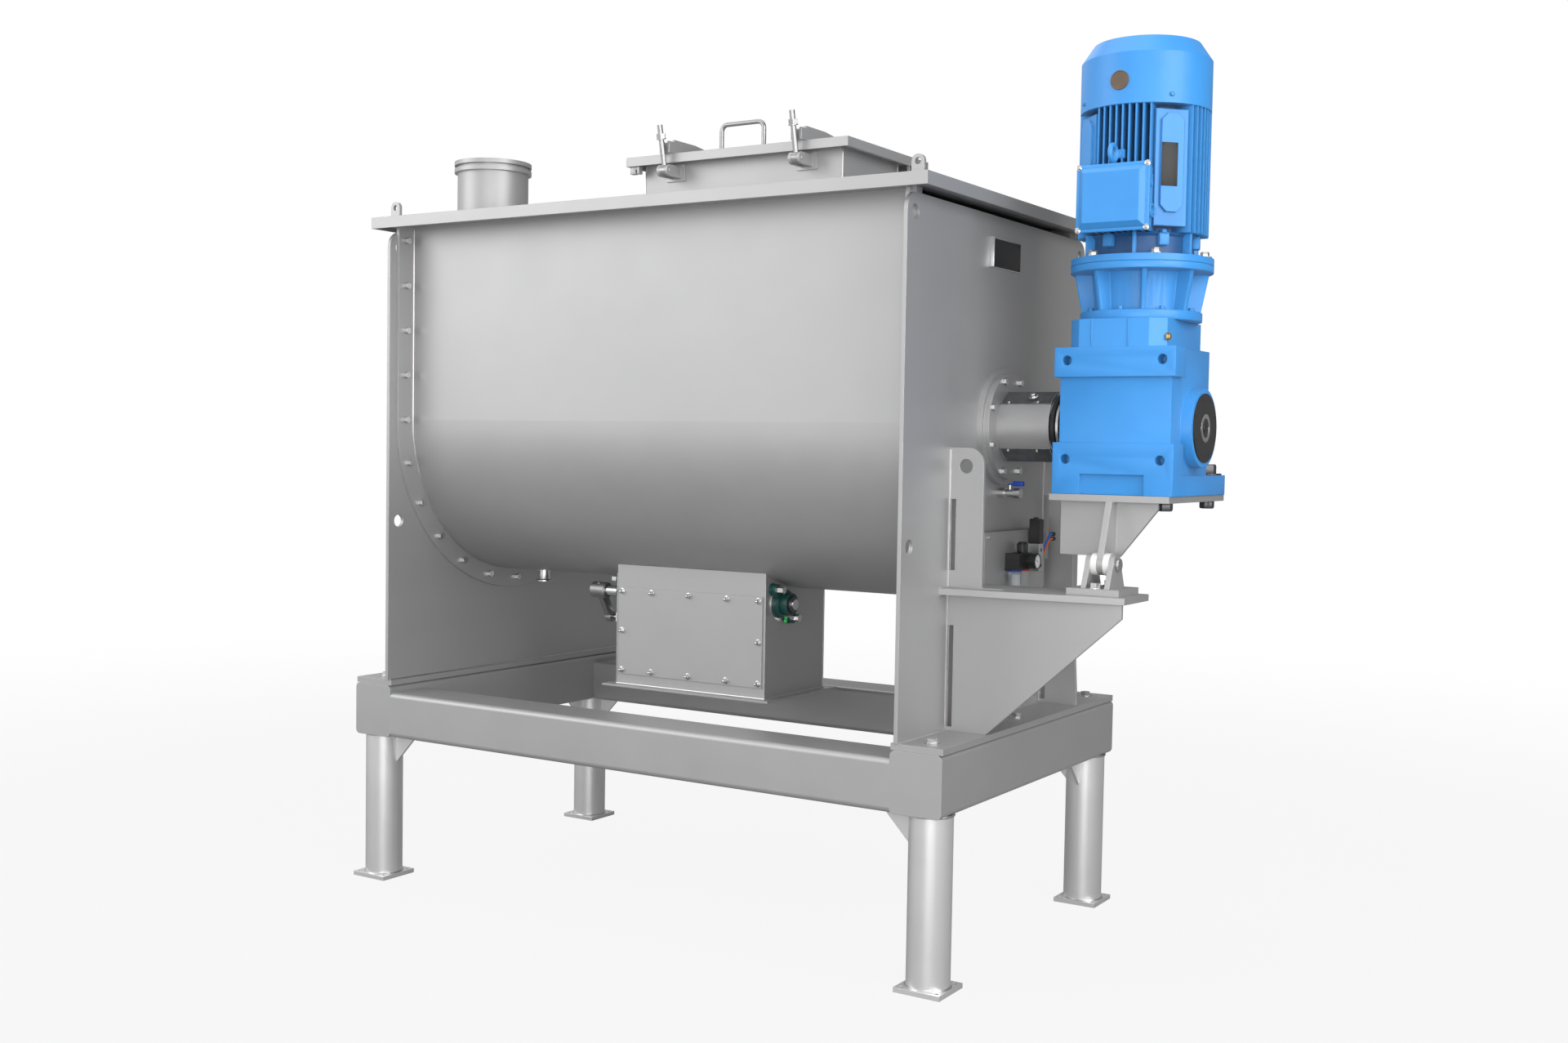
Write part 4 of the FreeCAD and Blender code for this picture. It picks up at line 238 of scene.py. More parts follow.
def blasted_steel(name, light, dark, roughness, edge=0.0016, metallic=1.0):
    steel = Finish(name)
    rounded = steel.rounded(edge)
    on_edges = steel.edge_share(rounded)
    cloud = steel.noise(1.7, 4.0)
    patch = steel.noise(9.0, 5.0, rough=0.62)
    wiped = steel.noise(2.2, 3.0, steel.place(scale=(2.2, 1.0, 3.0), turn=(0.5, 0.3, 0.2)))
    grain = steel.noise(900.0, 2.0)
    tone = cloud * 0.5 + patch * 0.25 + wiped * 0.25
    colour = steel.mix(tone.above(0.5, 0.22), dark, light)
    colour = steel.mix(on_edges * patch.above(0.48, 0.2) * 0.5, colour, WORN_EDGE)
    rough = roughness + (patch - 0.5) * 0.10 + (grain - 0.5) * 0.08 - on_edges * 0.08
    relief = steel.bump(grain, 0.00012, 0.35, rounded)
    relief = steel.bump(cloud, 0.0030, 0.20, relief)
    return steel.done(Base_Color=colour, Roughness=rough, Normal=relief, Metallic=metallic)


plate_steel = blasted_steel("blasted_plate_steel", (0.465, 0.465, 0.465), (0.432, 0.432, 0.436),
                            0.47, metallic=0.62)
tube_steel = blasted_steel("blasted_leg_tube", (0.82, 0.82, 0.82), (0.77, 0.77, 0.775),
                           0.34, metallic=0.72)
hatch_steel = blasted_steel("worn_hatch_bar", (0.40, 0.40, 0.40), (0.34, 0.34, 0.345),
                            0.34, edge=0.0006)
print("blasted steel:", len(plate_steel.node_tree.nodes), "nodes")

# %% [markdown]
# ## Turned and polished steel
#
# The pull handle, hinge pins, shafts and the cylinder's rod are turned or polished. They are
# smoother, so they show sharper reflections, with very fine marks left by the tool.

# %% Polished steel
FINE_EDGE = 0.0008


def polished_steel(name, colour, roughness, marks):
    steel = Finish(name)
    rings = steel.noise(marks, 2.0)
    smear = steel.noise(22.0, 3.0)
    darker = [value * 0.86 for value in colour]
    tint = steel.mix(smear.above(0.5, 0.25), darker, colour)
    rough = roughness + (smear - 0.5) * 0.14 + (rings - 0.5) * 0.08
    relief = steel.bump(rings, 0.00006, 0.4, steel.rounded(FINE_EDGE))
    return steel.done(Base_Color=tint, Roughness=rough, Normal=relief, Metallic=1.0)


bright_steel = polished_steel("polished_handle_steel", (0.70, 0.70, 0.71), 0.20, 1200.0)
bolt_steel = polished_steel("stainless_bolts", (0.74, 0.735, 0.73), 0.25, 700.0)
dark_bolts = polished_steel("blackened_bolts", (0.14, 0.14, 0.15), 0.38, 700.0)
lever_steel = polished_steel("cast_lever_steel", (0.36, 0.36, 0.365), 0.42, 260.0)
dark_steel = polished_steel("dark_ring_steel", (0.17, 0.17, 0.18), 0.40, 300.0)
weld_steel = polished_steel("weld_bead_steel", (0.60, 0.595, 0.58), 0.34, 500.0)
print("polished steel: 6 kinds")

# %% [markdown]
# ## Paint on castings
#
# The gear unit and motor are iron castings under sky blue machine paint, and the flap's
# bearings are small castings under dark green paint. Sprayed paint on a casting shows the
# sand grain below it and a slight orange peel, and it chips on edges. Little light gets in
# between the motor's fins, so shade is painted into their colour, darker towards the root.
# The blue hands only part of its colour on to the bright steel beside it.

# %% Casting paint
SKY_BLUES = (0.050, 0.325, 0.80), (0.040, 0.285, 0.73), (0.05, 0.22, 0.50)
GROOVE_SHADE = (0.15, 0.24, 0.30)


def casting_paint(name, light, deep, worn, roughness, edge=0.003, fins=None):
    """Sprayed paint. Fins are given as their axis, root radius and tip radius; shade is painted
    darker towards their roots.
    """
    paint = Finish(name)
    rounded = paint.rounded(edge)
    on_edges = paint.edge_share(rounded)
    sand = paint.noise(210.0, 4.0, rough=0.6)
    orange_peel = paint.noise(70.0, 2.0)
    cloud = paint.noise(6.0, 3.0)
    chips = paint.noise(95.0, 3.0, rough=0.7)
    colour = paint.mix(cloud.above(0.5, 0.3), deep, light)
    chipped = (on_edges * chips.above(0.60, 0.03)).above(0.30, 0.10)
    colour = paint.mix(chipped, colour, worn)
    # Painted shade: between the fins the colour darkens towards the root, where little light gets
    # in.
    if fins:
        axis, root, tip = fins
        flat = paint.place(scale=(1, 1, 0), shift=(-axis, 0, 0))
        outside = paint.of_vectors("LENGTH", flat).above((root + tip) / 2, (tip - root) / 2)
        painted_groove_shade = [value * shade for value, shade in zip(light, GROOVE_SHADE)]
        colour = paint.mix(outside, painted_groove_shade, colour)
    grey = sum(light) / 3
    colour = paint.mix(paint.ray("Camera") * 0.7 + 0.3, (grey, grey, grey), colour)
    rough = roughness + (cloud - 0.5) * 0.12 + (sand - 0.5) * 0.10
    relief = paint.bump(orange_peel, 0.00035, 0.6, rounded)
    relief = paint.bump(sand, 0.00018, 0.5, relief)
    return paint.done(Base_Color=colour, Roughness=rough, Normal=relief,
                      Coat_Weight=0.06, Coat_Roughness=0.2)


blue_paint = casting_paint("sky_blue_casting_paint", *SKY_BLUES, 0.42)
fin_paint_with_painted_shade = casting_paint("sky_blue_paint_with_painted_fin_shade", *SKY_BLUES, 0.42, fins=(1.226, 0.122, 0.162))
green_paint = casting_paint("dark_green_casting_paint", (0.010, 0.085, 0.075),
                            (0.006, 0.055, 0.050), (0.10, 0.11, 0.11), 0.34, edge=0.0015)
print("casting paint: blue and green")

# %% [markdown]
# ## Plastics, rubber and the clear bowls
#
# Moulded plastic has an even fine texture, rubber is dull and a little dusty, and the filter
# bowls are clear, so light passes through them.

# %% Plastics and rubber
def moulded(name, light, dark, roughness, texture=500.0, depth=0.00008):
    plastic = Finish(name)
    grain = plastic.noise(texture, 3.0)
    cloud = plastic.noise(30.0, 3.0)
    colour = plastic.mix(cloud.above(0.5, 0.3), dark, light)
    rough = roughness + (cloud - 0.5) * 0.12 + (grain - 0.5) * 0.08
    relief = plastic.bump(grain, depth, 0.5, plastic.rounded(FINE_EDGE))
    return plastic.done(Base_Color=colour, Roughness=rough, Normal=relief)


black_plastic = moulded("black_moulding", (0.022, 0.022, 0.024), (0.013, 0.013, 0.014), 0.38)
white_plastic = moulded("white_bush_nylon", (0.86, 0.86, 0.84), (0.79, 0.79, 0.77), 0.35)
gasket_rubber = moulded("white_silicone_gasket", (0.66, 0.66, 0.64), (0.55, 0.55, 0.54), 0.62,
                        240.0, 0.0002)
blue_plastic = moulded("blue_valve_sleeve", (0.012, 0.075, 0.52), (0.010, 0.055, 0.42), 0.33)
red_plastic = moulded("red_bowl_ring", (0.55, 0.020, 0.020), (0.44, 0.014, 0.014), 0.35)
blue_tube = moulded("blue_air_tube", (0.020, 0.13, 0.72), (0.014, 0.10, 0.60), 0.22, 120.0)
orange_tube = moulded("orange_air_tube", (0.85, 0.19, 0.02), (0.74, 0.14, 0.015), 0.22, 120.0)
# Painted shade: the guard's clear windows get this dark glossy colour, which stands for the
# shaded inside of the guard seen through them.
dark_pane_painted_shade = moulded("guard_pane_painted_inner_shade", (0.110, 0.112, 0.115), (0.075, 0.077, 0.080), 0.16,
                      60.0, 0.00003)
dial_white = moulded("white_dial_card", (0.88, 0.88, 0.87), (0.83, 0.83, 0.82), 0.45)
print("plastics and rubber: 9 kinds")

# %% Clear bowls, aluminium and brass
def clear_bowl():
    bowl = Finish("clear_bowl_plastic")
    ripple = bowl.noise(60.0, 2.0)
    return bowl.done(Base_Color=opaque((0.86, 0.90, 0.92)), Roughness=0.06 + ripple * 0.06,
                     Normal=bowl.bump(ripple, 0.0002, 0.3), IOR=1.45, Transmission_Weight=0.85)


bowl_plastic = clear_bowl()
anodised = polished_steel("anodised_aluminium", (0.66, 0.67, 0.68), 0.34, 420.0)
brown_plug = moulded("brown_blanking_plug", (0.15, 0.10, 0.065), (0.11, 0.075, 0.05), 0.42)
green_cap = moulded("green_nipple_cap", (0.015, 0.52, 0.10), (0.012, 0.42, 0.08), 0.35)
brass = polished_steel("brass_fittings", (0.62, 0.44, 0.17), 0.26, 600.0)
plate_metal = moulded("dark_bare_plate", (0.022, 0.022, 0.024), (0.015, 0.015, 0.016), 0.50,
                      300.0)
print("bowls, aluminium and brass")

# %% [markdown]
# ## Finishes on the solids
#
# Each solid is one sub-part of the machine, so it takes the finish of its real material.

# %% Give each solid its finish
FINISHED = (
    (tube_steel, "legs"),
    (hatch_steel, "hatch_handle swing_bolt_left swing_bolt_right"),
    (bright_steel, "hinge_pins flap_shaft cylinder_rod mixer_shaft"),
    (bolt_steel, "purge_valve trough_flange_nuts panel_nuts frame_fasteners"),
    (lever_steel, "flap_lever"), (anodised, "air_cylinder solenoid_valve"),
    (blue_paint, "gearbox_housing lantern terminal_box fan_cover lifting_eye"),
    (fin_paint_with_painted_shade, "motor_frame"), (green_paint, "flap_bearings"),
    (gasket_rubber, "lid_gasket hatch_gasket"), (white_plastic, "torque_bushes"),
    (black_plastic, "output_covers motor_fan filter_regulator regulator_knob pressure_gauge"),
    (blue_plastic, "purge_valve_handle"), (dark_pane_painted_shade, "guard_windows"),
    (blue_tube, "air_tube_1"), (orange_tube, "air_tube_2"), (bowl_plastic, "filter_bowls"),
)
finish_of = {name: finish for finish, names in FINISHED for name in names.split()}
for name, solid in solids.items():
    solid.data.materials.clear()
    solid.data.materials.append(finish_of.get(name, plate_steel))
print(len(finish_of), "solids have their own finish, the rest are blasted plate")

# %% [markdown]
# ## Modelling small parts
#
# Bolts, knobs and plugs are turned parts: a disc is extruded upwards and scaled at each
# step, as by hand in edit mode. They are modelled once at the origin, standing with their
# axis up, and copies are then set out where the machine has them.

# %% Helpers for modelling
DOUBLED = 0.00002
THIN = 0.001


def mm(*values):
    """A place in millimetres, given in metres."""
    return Vector(values) * 0.001


def shift(x, y, z):
    """The move by a distance in millimetres."""
    return Matrix.Translation(mm(x, y, z))


def spun(angle, axis="Z"):
    """The turn about an axis through the origin, in degrees."""
    return Matrix.Rotation(math.radians(angle), 4, axis)


def aim(place, direction=(0, 0, 1), spin=0.0):
    """The move that sets a part that stands on the origin at a place, with its axis turned."""
    facing = Vector(direction).to_track_quat("Z", "Y").to_matrix().to_4x4()
    return Matrix.Translation(Vector(place)) @ facing @ Matrix.Rotation(spin, 4, "Z")


def deselect():
    if bpy.context.object and bpy.context.object.mode != "OBJECT":
        bpy.ops.object.mode_set(mode="OBJECT")
    bpy.ops.object.select_all(action="DESELECT")


def pick(pieces):
    """Selects some pieces and nothing else."""
    deselect()
    for piece in pieces:
        piece.select_set(True)
    bpy.context.view_layer.objects.active = pieces[0]


def edit_all():
    """Opens the active piece for editing, with all of it selected."""
    bpy.ops.object.mode_set(mode="EDIT")
    bpy.ops.mesh.select_all(action="SELECT")


def stop_editing():
    bpy.ops.object.mode_set(mode="OBJECT")


def close_up(piece):
    """Merges doubled points, turns the faces outwards and smooths shallow edges."""
    edit_all()
    bpy.ops.mesh.remove_doubles(threshold=DOUBLED)
    bpy.ops.mesh.normals_make_consistent(inside=False)
    stop_editing()
    bpy.ops.object.shade_smooth_by_angle(angle=math.radians(32))
    return piece


def turned(profile, sides=32):
    """A part turned about +Z. Its profile is a list of radius and height, in millimetres."""
    deselect()
    radius, height = profile[0]
    bpy.ops.mesh.primitive_circle_add(vertices=sides, radius=radius * 0.001, fill_type="NGON")
    piece = bpy.context.object
    piece.data.transform(shift(0, 0, height))
    edit_all()
    for next_radius, next_height in profile[1:]:
        rise = (0, 0, (next_height - height) * 0.001)
        bpy.ops.mesh.extrude_region_move(TRANSFORM_OT_translate={"value": rise})
        grown = max(next_radius, THIN) / max(radius, THIN)
        bpy.ops.transform.resize(value=(grown, grown, 1), center_override=(0, 0, 0))
        radius, height = next_radius, next_height
    stop_editing()
    return close_up(piece)


def box_part(low, high, bevel, segments=2):
    """A block between two corners, in millimetres, with bevelled edges."""
    deselect()
    low, high = Vector(low), Vector(high)
    bpy.ops.mesh.primitive_cube_add(size=1, location=(low + high) * 0.0005)
    piece = bpy.context.object
    piece.scale = (high - low) * 0.001
    bpy.ops.object.transform_apply(location=True, rotation=True, scale=True)
    edit_all()
    bpy.ops.mesh.bevel(offset=bevel * 0.001, segments=segments, affect="EDGES")
    stop_editing()
    return close_up(piece)


print("modelling helpers ready")

# %% Helpers for setting parts out
def welded(pieces):
    """Joins pieces into one object."""
    pick(pieces)
    if len(pieces) > 1:
        bpy.ops.object.join()
    return pieces[0]


def set_out(model, moves):
    """Copies a model to each place, each copy with its own mesh, and joins the copies."""
    copies = []
    for move in moves:
        copy = model.copy()
        copy.data = model.data.copy()
        copy.data.transform(move)
        bpy.context.collection.objects.link(copy)
        copies.append(copy)
    bpy.data.objects.remove(model)
    return welded(copies)


def dress(piece, name, finish, body="machine"):
    """Names a piece, gives it its finish and hangs it on its body."""
    piece.name = name
    piece.data.materials.clear()
    piece.data.materials.append(finish)
    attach(piece, body)
    return piece


def fit_on(model, moves, name, finish, body="machine"):
    """Sets out a model and dresses the copies as one piece."""
    return dress(set_out(model, moves), name, finish, body)


def fasten(model, moves, name, finish=bolt_steel):
    """Sets out bolts, screws or washers as one piece."""
    return fit_on(model, moves, name, finish)


print("helpers ready")

# %% [markdown]
# ## Bolts and nuts
#
# A hexagon head is a six-sided part with its top corners turned off to a cone. It sits on a
# round washer. The acorn nuts of the access panel close in a dome, so that nothing catches in
# them when the machine is washed down.

# %% Bolt models
def hex_bolt(across, washer=True):
    """A hexagon head on its washer. The size is across the flats, in millimetres."""
    corner = across / 2 / math.cos(math.pi / 6)
    base = across * 0.12 if washer else 0
    tall = across * 0.62
    head = turned([(corner * 0.97, base), (corner, base + tall * 0.06),
                   (corner, base + tall * 0.82), (corner * 0.87, base + tall),
                   (corner * 0.40, base + tall)], sides=6)
    if not washer:
        return head
    ring = turned([(across * 0.88, 0), (across * 0.92, base * 0.3), (across * 0.92, base * 0.8),
                   (across * 0.88, base)], sides=24)
    return welded([head, ring])


def acorn_nut(across, tall):
    """A six-sided nut closed by a dome, on a thin washer."""
    corner = across / 2 / math.cos(math.pi / 6)
    wall = tall * 0.42
    nut = turned([(corner, 1.5), (corner, wall), (corner * 0.90, wall + 0.8),
                  (across * 0.40, wall + 0.8)], sides=6)
    radius, foot = across * 0.43, wall + 0.6
    turns = [step * math.pi / 10 for step in range(6)]
    dome = turned([(radius * math.cos(turn), foot + (tall - foot) * math.sin(turn))
                   for turn in turns], sides=20)
    ring = turned([(across * 0.66, 0), (across * 0.69, 0.4), (across * 0.69, 1.2),
                   (across * 0.64, 1.5)], sides=24)
    return welded([nut, dome, ring])


def cap_screw(across):
    """A round head with a round socket."""
    tall = across * 0.55
    return turned([(across / 2 * 0.96, 0), (across / 2, tall * 0.1), (across / 2, tall * 0.85),
                   (across / 2 * 0.9, tall), (across * 0.28, tall), (across * 0.26, tall * 0.4),
                   (across * 0.02, tall * 0.4)], sides=24)


print("bolt models ready")

# %% Acorn nuts of the access panel
FRONT, BACK, RIGHT, LEFT, DOWN = (0, -1, 0), (0, 1, 0), (1, 0, 0), (-1, 0, 0), (0, 0, -1)
PANEL_FACE = -214
panel_places = [(x, z) for z in (646, 874) for x in (-236, -130, 0, 130, 236)]
panel_places += [(-236, 760), (236, 760)]
moves = [aim(mm(x, PANEL_FACE, z), FRONT, x * 0.37 + z) for x, z in panel_places]
nuts = fasten(acorn_nut(13, 16), moves, "access_panel_acorn_nuts")
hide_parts("panel_nuts")
print(len(moves), "acorn nuts")

# %% [markdown]
# ## Weld beads
#
# The plates are joined by fine stainless welds. A bead is a curve with a round section,
# half of it in the corner, whose radius swells and shrinks every few millimetres like the
# overlapping drops of a real weld.

# %% Weld bead helper
DROP = 4.5


def bead(path, size, closed=False):
    """A weld bead along a path of places in millimetres."""
    path = [mm(*point) for point in path]
    runs = list(zip(path, path[1:] + path[:1] if closed else path[1:]))
    drops = []
    for before, after in runs:
        count = max(1, round((after - before).length / DROP))
        drops += [before.lerp(after, step / count) for step in range(count)]
    if not closed:
        drops.append(path[-1])
    line = bpy.data.curves.new("bead", "CURVE")
    line.dimensions = "3D"
    line.bevel_depth = size * 0.001
    line.bevel_resolution = 1
    line.use_fill_caps = True
    run = line.splines.new("POLY")
    run.points.add(len(drops) - 1)
    run.use_cyclic_u = closed
    for number, (point, drop) in enumerate(zip(run.points, drops)):
        point.co = (*drop, 1)
        point.radius = 1.0 + 0.12 * (number % 2) + 0.06 * math.sin(number * 0.9)
    weld = bpy.data.objects.new("bead", line)
    bpy.context.collection.objects.link(weld)
    pick([weld])
    bpy.ops.object.convert(target="MESH")
    return close_up(bpy.context.object)


def circle(centre, radius, axis="z", start=0, sweep=360, steps=48):
    """Places on an arc about an upright axis, or about one along x."""
    points = []
    for step in range(steps + (sweep < 360)):
        turn = math.radians(start + sweep * step / steps)
        across, along = radius * math.cos(turn), radius * math.sin(turn)
        offset = (across, along, 0) if axis == "z" else (0, across, along)
        points.append(Vector(centre) + Vector(offset))
    return points


def corners_of(x_low, x_high, y_low, y_high, z):
    """The four corners of a level rectangle."""
    return [(x_low, y_low, z), (x_high, y_low, z), (x_high, y_high, z), (x_low, y_high, z)]


print("bead helper ready")

# %% [markdown]
# ## Castings with round edges
#
# Iron castings have no sharp corners, because sand can't hold one. The solids of the gear
# unit and the lantern have sharp edges, so a copy of each is merged into one skin, its flat
# faces are joined, and a bevel rounds the edges that turn more than 35 degrees.

# %% Round the edges of the castings
def rounded_copy(name, radius, segments):
    """A copy of a painted solid with rounded edges, which stands in its place."""
    deselect()
    piece = solids[name].copy()
    piece.data = solids[name].data.copy()
    piece.parent = None
    bpy.context.collection.objects.link(piece)
    pick([piece])
    edit_all()
    bpy.ops.mesh.remove_doubles(threshold=DOUBLED)
    bpy.ops.mesh.dissolve_limited(angle_limit=math.radians(0.8))
    stop_editing()
    rounding = piece.modifiers.new("Round edges", "BEVEL")
    rounding.width = radius * 0.001
    rounding.segments = segments
    rounding.limit_method = "ANGLE"
    rounding.angle_limit = math.radians(35)
    rounding.use_clamp_overlap = True
    bpy.ops.object.modifier_apply(modifier=rounding.name)
    bpy.ops.object.shade_smooth_by_angle(angle=math.radians(38))
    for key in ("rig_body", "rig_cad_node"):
        if key in piece:
            del piece[key]
    dress(piece, name + "_rounded", blue_paint)
    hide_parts(name)
    print(name, "rounded by", radius, "mm:", len(piece.data.polygons), "faces")


rounded_copy("gearbox_housing", 5.0, 3)
rounded_copy("lantern", 2.0, 2)

# %% [markdown]
# ## The motor's small parts
#
# The fan cover is pressed sheet, held by four painted screws, with a plug in the hole that
# leads to the fan shaft. The terminal box has a raised cover with a wide bevel, four corner
# screws and two cable rings. Lugs, ribs and bolts stand round the foot of the motor's body.

# %% Fan cover plug and screws
MOTOR_X = 1226


def on_motor(radius, angle, height):
    """A place on a circle round the motor's axis, and the direction outwards."""
    turn = math.radians(angle)
    outward = (math.cos(turn), math.sin(turn), 0)
    return mm(MOTOR_X + radius * outward[0], radius * outward[1], height), outward


plug = turned([(23.5, -3), (23.5, 1.2), (22.5, 2.0), (20.5, 2.0), (20.0, 1.2), (10, 1.0),
               (0.5, 0.9)], sides=40)
moves = [aim(*on_motor(160.4, -93.3, 2194))]
fit_on(plug, moves, "fan_cover_plug", brown_plug)
moves = [aim(*on_motor(159.0, angle, 2157)) for angle in (-138.6, -47.8, 42, 131)]
fit_on(hex_bolt(8), moves, "fan_cover_screws", blue_paint)
print("fan cover: 1 plug,", len(moves), "screws")

# %% Terminal box
def bevelled_lid(low, high, border, slope):
    """A box whose front face is drawn in, so that wide bevels run round it."""
    lid = box_part(low, high, 0.4, 1)
    bpy.ops.object.mode_set(mode="EDIT")
    bpy.ops.mesh.select_mode(type="FACE")
    bpy.ops.mesh.select_all(action="DESELECT")
    stop_editing()
    fronts = [face for face in lid.data.polygons if face.normal.y < -0.9]
    max(fronts, key=lambda face: face.area).select = True
    bpy.ops.object.mode_set(mode="EDIT")
    bpy.ops.mesh.inset(thickness=border * 0.001)
    bpy.ops.mesh.extrude_region_move(TRANSFORM_OT_translate={"value": (0, -slope * 0.001, 0)})
    middle = (Vector(low) + Vector(high)) * 0.0005
    wide, tall = high[0] - low[0] - 2 * border, high[2] - low[2] - 2 * border
    factors = (1 - 2 * slope / wide, 1, 1 - 2 * slope / tall)
    bpy.ops.transform.resize(value=factors, center_override=middle)
    stop_editing()
    return close_up(lid)


body = box_part((1140, -206, 1831), (1312, -171, 1981), 7.0, 3)
flange = box_part((1134, -213, 1825), (1318, -205, 1987), 2.5, 3)
lid = bevelled_lid((1143, -215, 1834), (1309, -212.5, 1978), 0.5, 11.4)
box = dress(welded([body, flange, lid]), "terminal_box_casting", blue_paint)
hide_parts("terminal_box")
moves = [aim(mm(x, -212.8, z), FRONT) for x in (1140, 1312) for z in (1831, 1981)]
fasten(hex_bolt(8), moves, "terminal_box_screws")
print("terminal box: body, flange, lid and", len(moves), "screws")

# %% Cable entries of the terminal box
ring = turned([(17, 0), (17, 6), (16, 8), (12, 8), (11.5, 2), (1, 2)], sides=28)
ring.data.transform(aim(mm(1311.5, -190, 1872), RIGHT))
small = turned([(9, 0), (9, 3), (8, 4.5), (2, 4.5)], sides=20)
small.data.transform(aim(mm(1311.5, -190, 1938), RIGHT))
dress(welded([ring, small]), "terminal_box_cable_entries", blue_paint)
print("2 cable entries")

# %% Lugs and ribs at the foot of the motor
LUG_ANGLES, RIB_ANGLES = range(-108, 193, 60), range(-78, 223, 60)
LUG = (LUG_ANGLES, 116, (0, -13, 1800), (24, 13, 1830), 3.0)
RIB = (RIB_ANGLES, 112, (0, -4, 1774), (36, 4, 1834), 1.5)
lugs = []
for angles, radius, low, high, bevel in (LUG, RIB):
    for angle in angles:
        lug = box_part(low, high, bevel)
        lug.data.transform(shift(MOTOR_X, 0, 0) @ spun(angle) @ shift(radius, 0, 0))
        lugs.append(lug)
dress(welded(lugs), "motor_foot_lugs", blue_paint)
print(len(LUG_ANGLES), "lugs,", len(RIB_ANGLES), "ribs")


# %% Bolts round the motor and lantern
def bolts_round(across, radius, angles, height, name, finish):
    """Upright bolts on a circle round the motor's axis, each turned a little further."""
    places = [on_motor(radius, angle, height)[0] for angle in angles]
    moves = [aim(place, spin=number) for number, place in enumerate(places)]
    fit_on(hex_bolt(across), moves, name, finish)
    print(name, len(moves))


bolts_round(13, 133, LUG_ANGLES, 1829, "motor_lug_bolts", blue_paint)
bolts_round(19, 158, range(-118, 183, 60), 1777, "motor_flange_bolts", bolt_steel)
bolts_round(13, 131, range(-92, 268, 45), 1645, "lantern_foot_bolts", blue_paint)

# %% Bare plate on the motor
plate = box_part((-21, -1.2, 1939), (21, 0, 2043), 0.5)
rivets = set_out(turned([(2.4, 0), (2.2, 0.9), (1.2, 1.3), (0.3, 1.4)], sides=12),
                 [aim(mm(x, -1.1, z), FRONT) for x in (-17, 17) for z in (1943, 2039)])
plate = welded([plate, rivets])
plate.data.transform(shift(MOTOR_X, 0, 0) @ spun(45) @ shift(-8, -157, 0))
dress(plate, "motor_bare_plate", plate_metal)
print("bare plate on the motor's corner pad")

# %% [markdown]
# ## The gear unit's small parts
#
# A brass plug closes the oil filler at the top corner. The hollow shaft's end shows as a
# bright ring in the output cover, closed by a black cap, with eight screws round it. Low
# ribs run up the casting's cap.

# %% Gear unit plugs, cover screws and cap
AXIS_Z = 1360
SCREW_CIRCLE = 72
on_cover = [aim(mm(1398.2, 0, AXIS_Z), RIGHT)]
plug = turned([(10.5, 0), (10.5, 3), (8, 3.2), (8, 8), (7.2, 8.6), (3, 8.6)], sides=6)
fasten(plug, [aim(mm(1343.5, -135, 1577), RIGHT)], "gear_oil_plug", brass)
ring = turned([(29.4, -1.5), (29.4, 1.9), (35, 1.9), (35, 2.3), (34, 2.7), (25, 2.7),
               (24, 2.0), (24, 0.8), (1, 0.8)], sides=48)
fasten(ring, on_cover, "output_shaft_ring", bright_steel)
cap = turned([(23.6, 0.7), (23.6, 1.2), (13, 1.2), (12, 2.4), (7, 2.4), (6.6, 1.0), (1, 1.0)],
             sides=40)
cap = set_out(cap, on_cover)
screw = turned([(4.2, 0), (4.2, 0.7), (3.6, 1.0), (2.0, 1.0), (1.9, 0.4), (0.2, 0.4)], sides=14)
turns = [math.radians(22.5 + 45 * step) for step in range(8)]
places = [(SCREW_CIRCLE * math.cos(turn), SCREW_CIRCLE * math.sin(turn)) for turn in turns]
screws = set_out(screw, [aim(mm(1399.4, y, AXIS_Z + z), RIGHT) for y, z in places])
dress(welded([cap, screws]), "output_cover_cap", black_plastic)
ribs = [box_part((x - 2, -171, 1556), (x + 2, -168, 1620), 0.9) for x in (1165, 1258)]
dress(welded(ribs), "gear_cap_ribs", blue_paint)
print("gear unit: plug, ring, cap,", len(turns), "cover screws,", len(ribs), "ribs")

# %% [markdown]
# ## Small parts of the shaft housing
#
# Between the end plate and the gear unit the shaft runs in a sheet guard with dark panes
# above and below, each held by round head screws. The panes' dark colour is painted shade:
# it stands for the shaded inside of the guard, seen through clear windows. Past the guard sit
# a black ring, whose black is painted shade at the guard's end, and a clamping ring that
# grips the hollow shaft of the gear unit. Below it the purge valve's handle wears a blue sleeve.

# %% Rings past the guard
def shaft_ring(x, radius, wide, name, finish):
    """A ring round the shaft, with its outer edges broken."""
    ring = turned([(53, 0), (radius - 2, 0), (radius, 1.5), (radius, wide - 1.5),
                   (radius - 2, wide), (53, wide)], sides=56)
    fit_on(ring, [aim(mm(x, 0, AXIS_Z), RIGHT)], name, finish, "rotor")


# Painted shade: this ring past the guard is black, and its black stands for the shade at the
# guard's end.
shaft_ring(1024.5, 88, 12.5, "guard_end_ring_painted_shade", black_plastic)
shaft_ring(1037.5, 84, 9.5, "shaft_clamping_ring", bright_steel)
print("2 rings past the guard")


# %% Frames and screws of the dark panes
def on_guard(x, angle, way=1, reach=91.5):
    """A place on the guard, at an angle up or down from its front, and the way outwards."""
    turn = math.radians(angle)
    outward = (0, -math.cos(turn), way * math.sin(turn))
    return (x, reach * outward[1], AXIS_Z + reach * outward[2]), outward


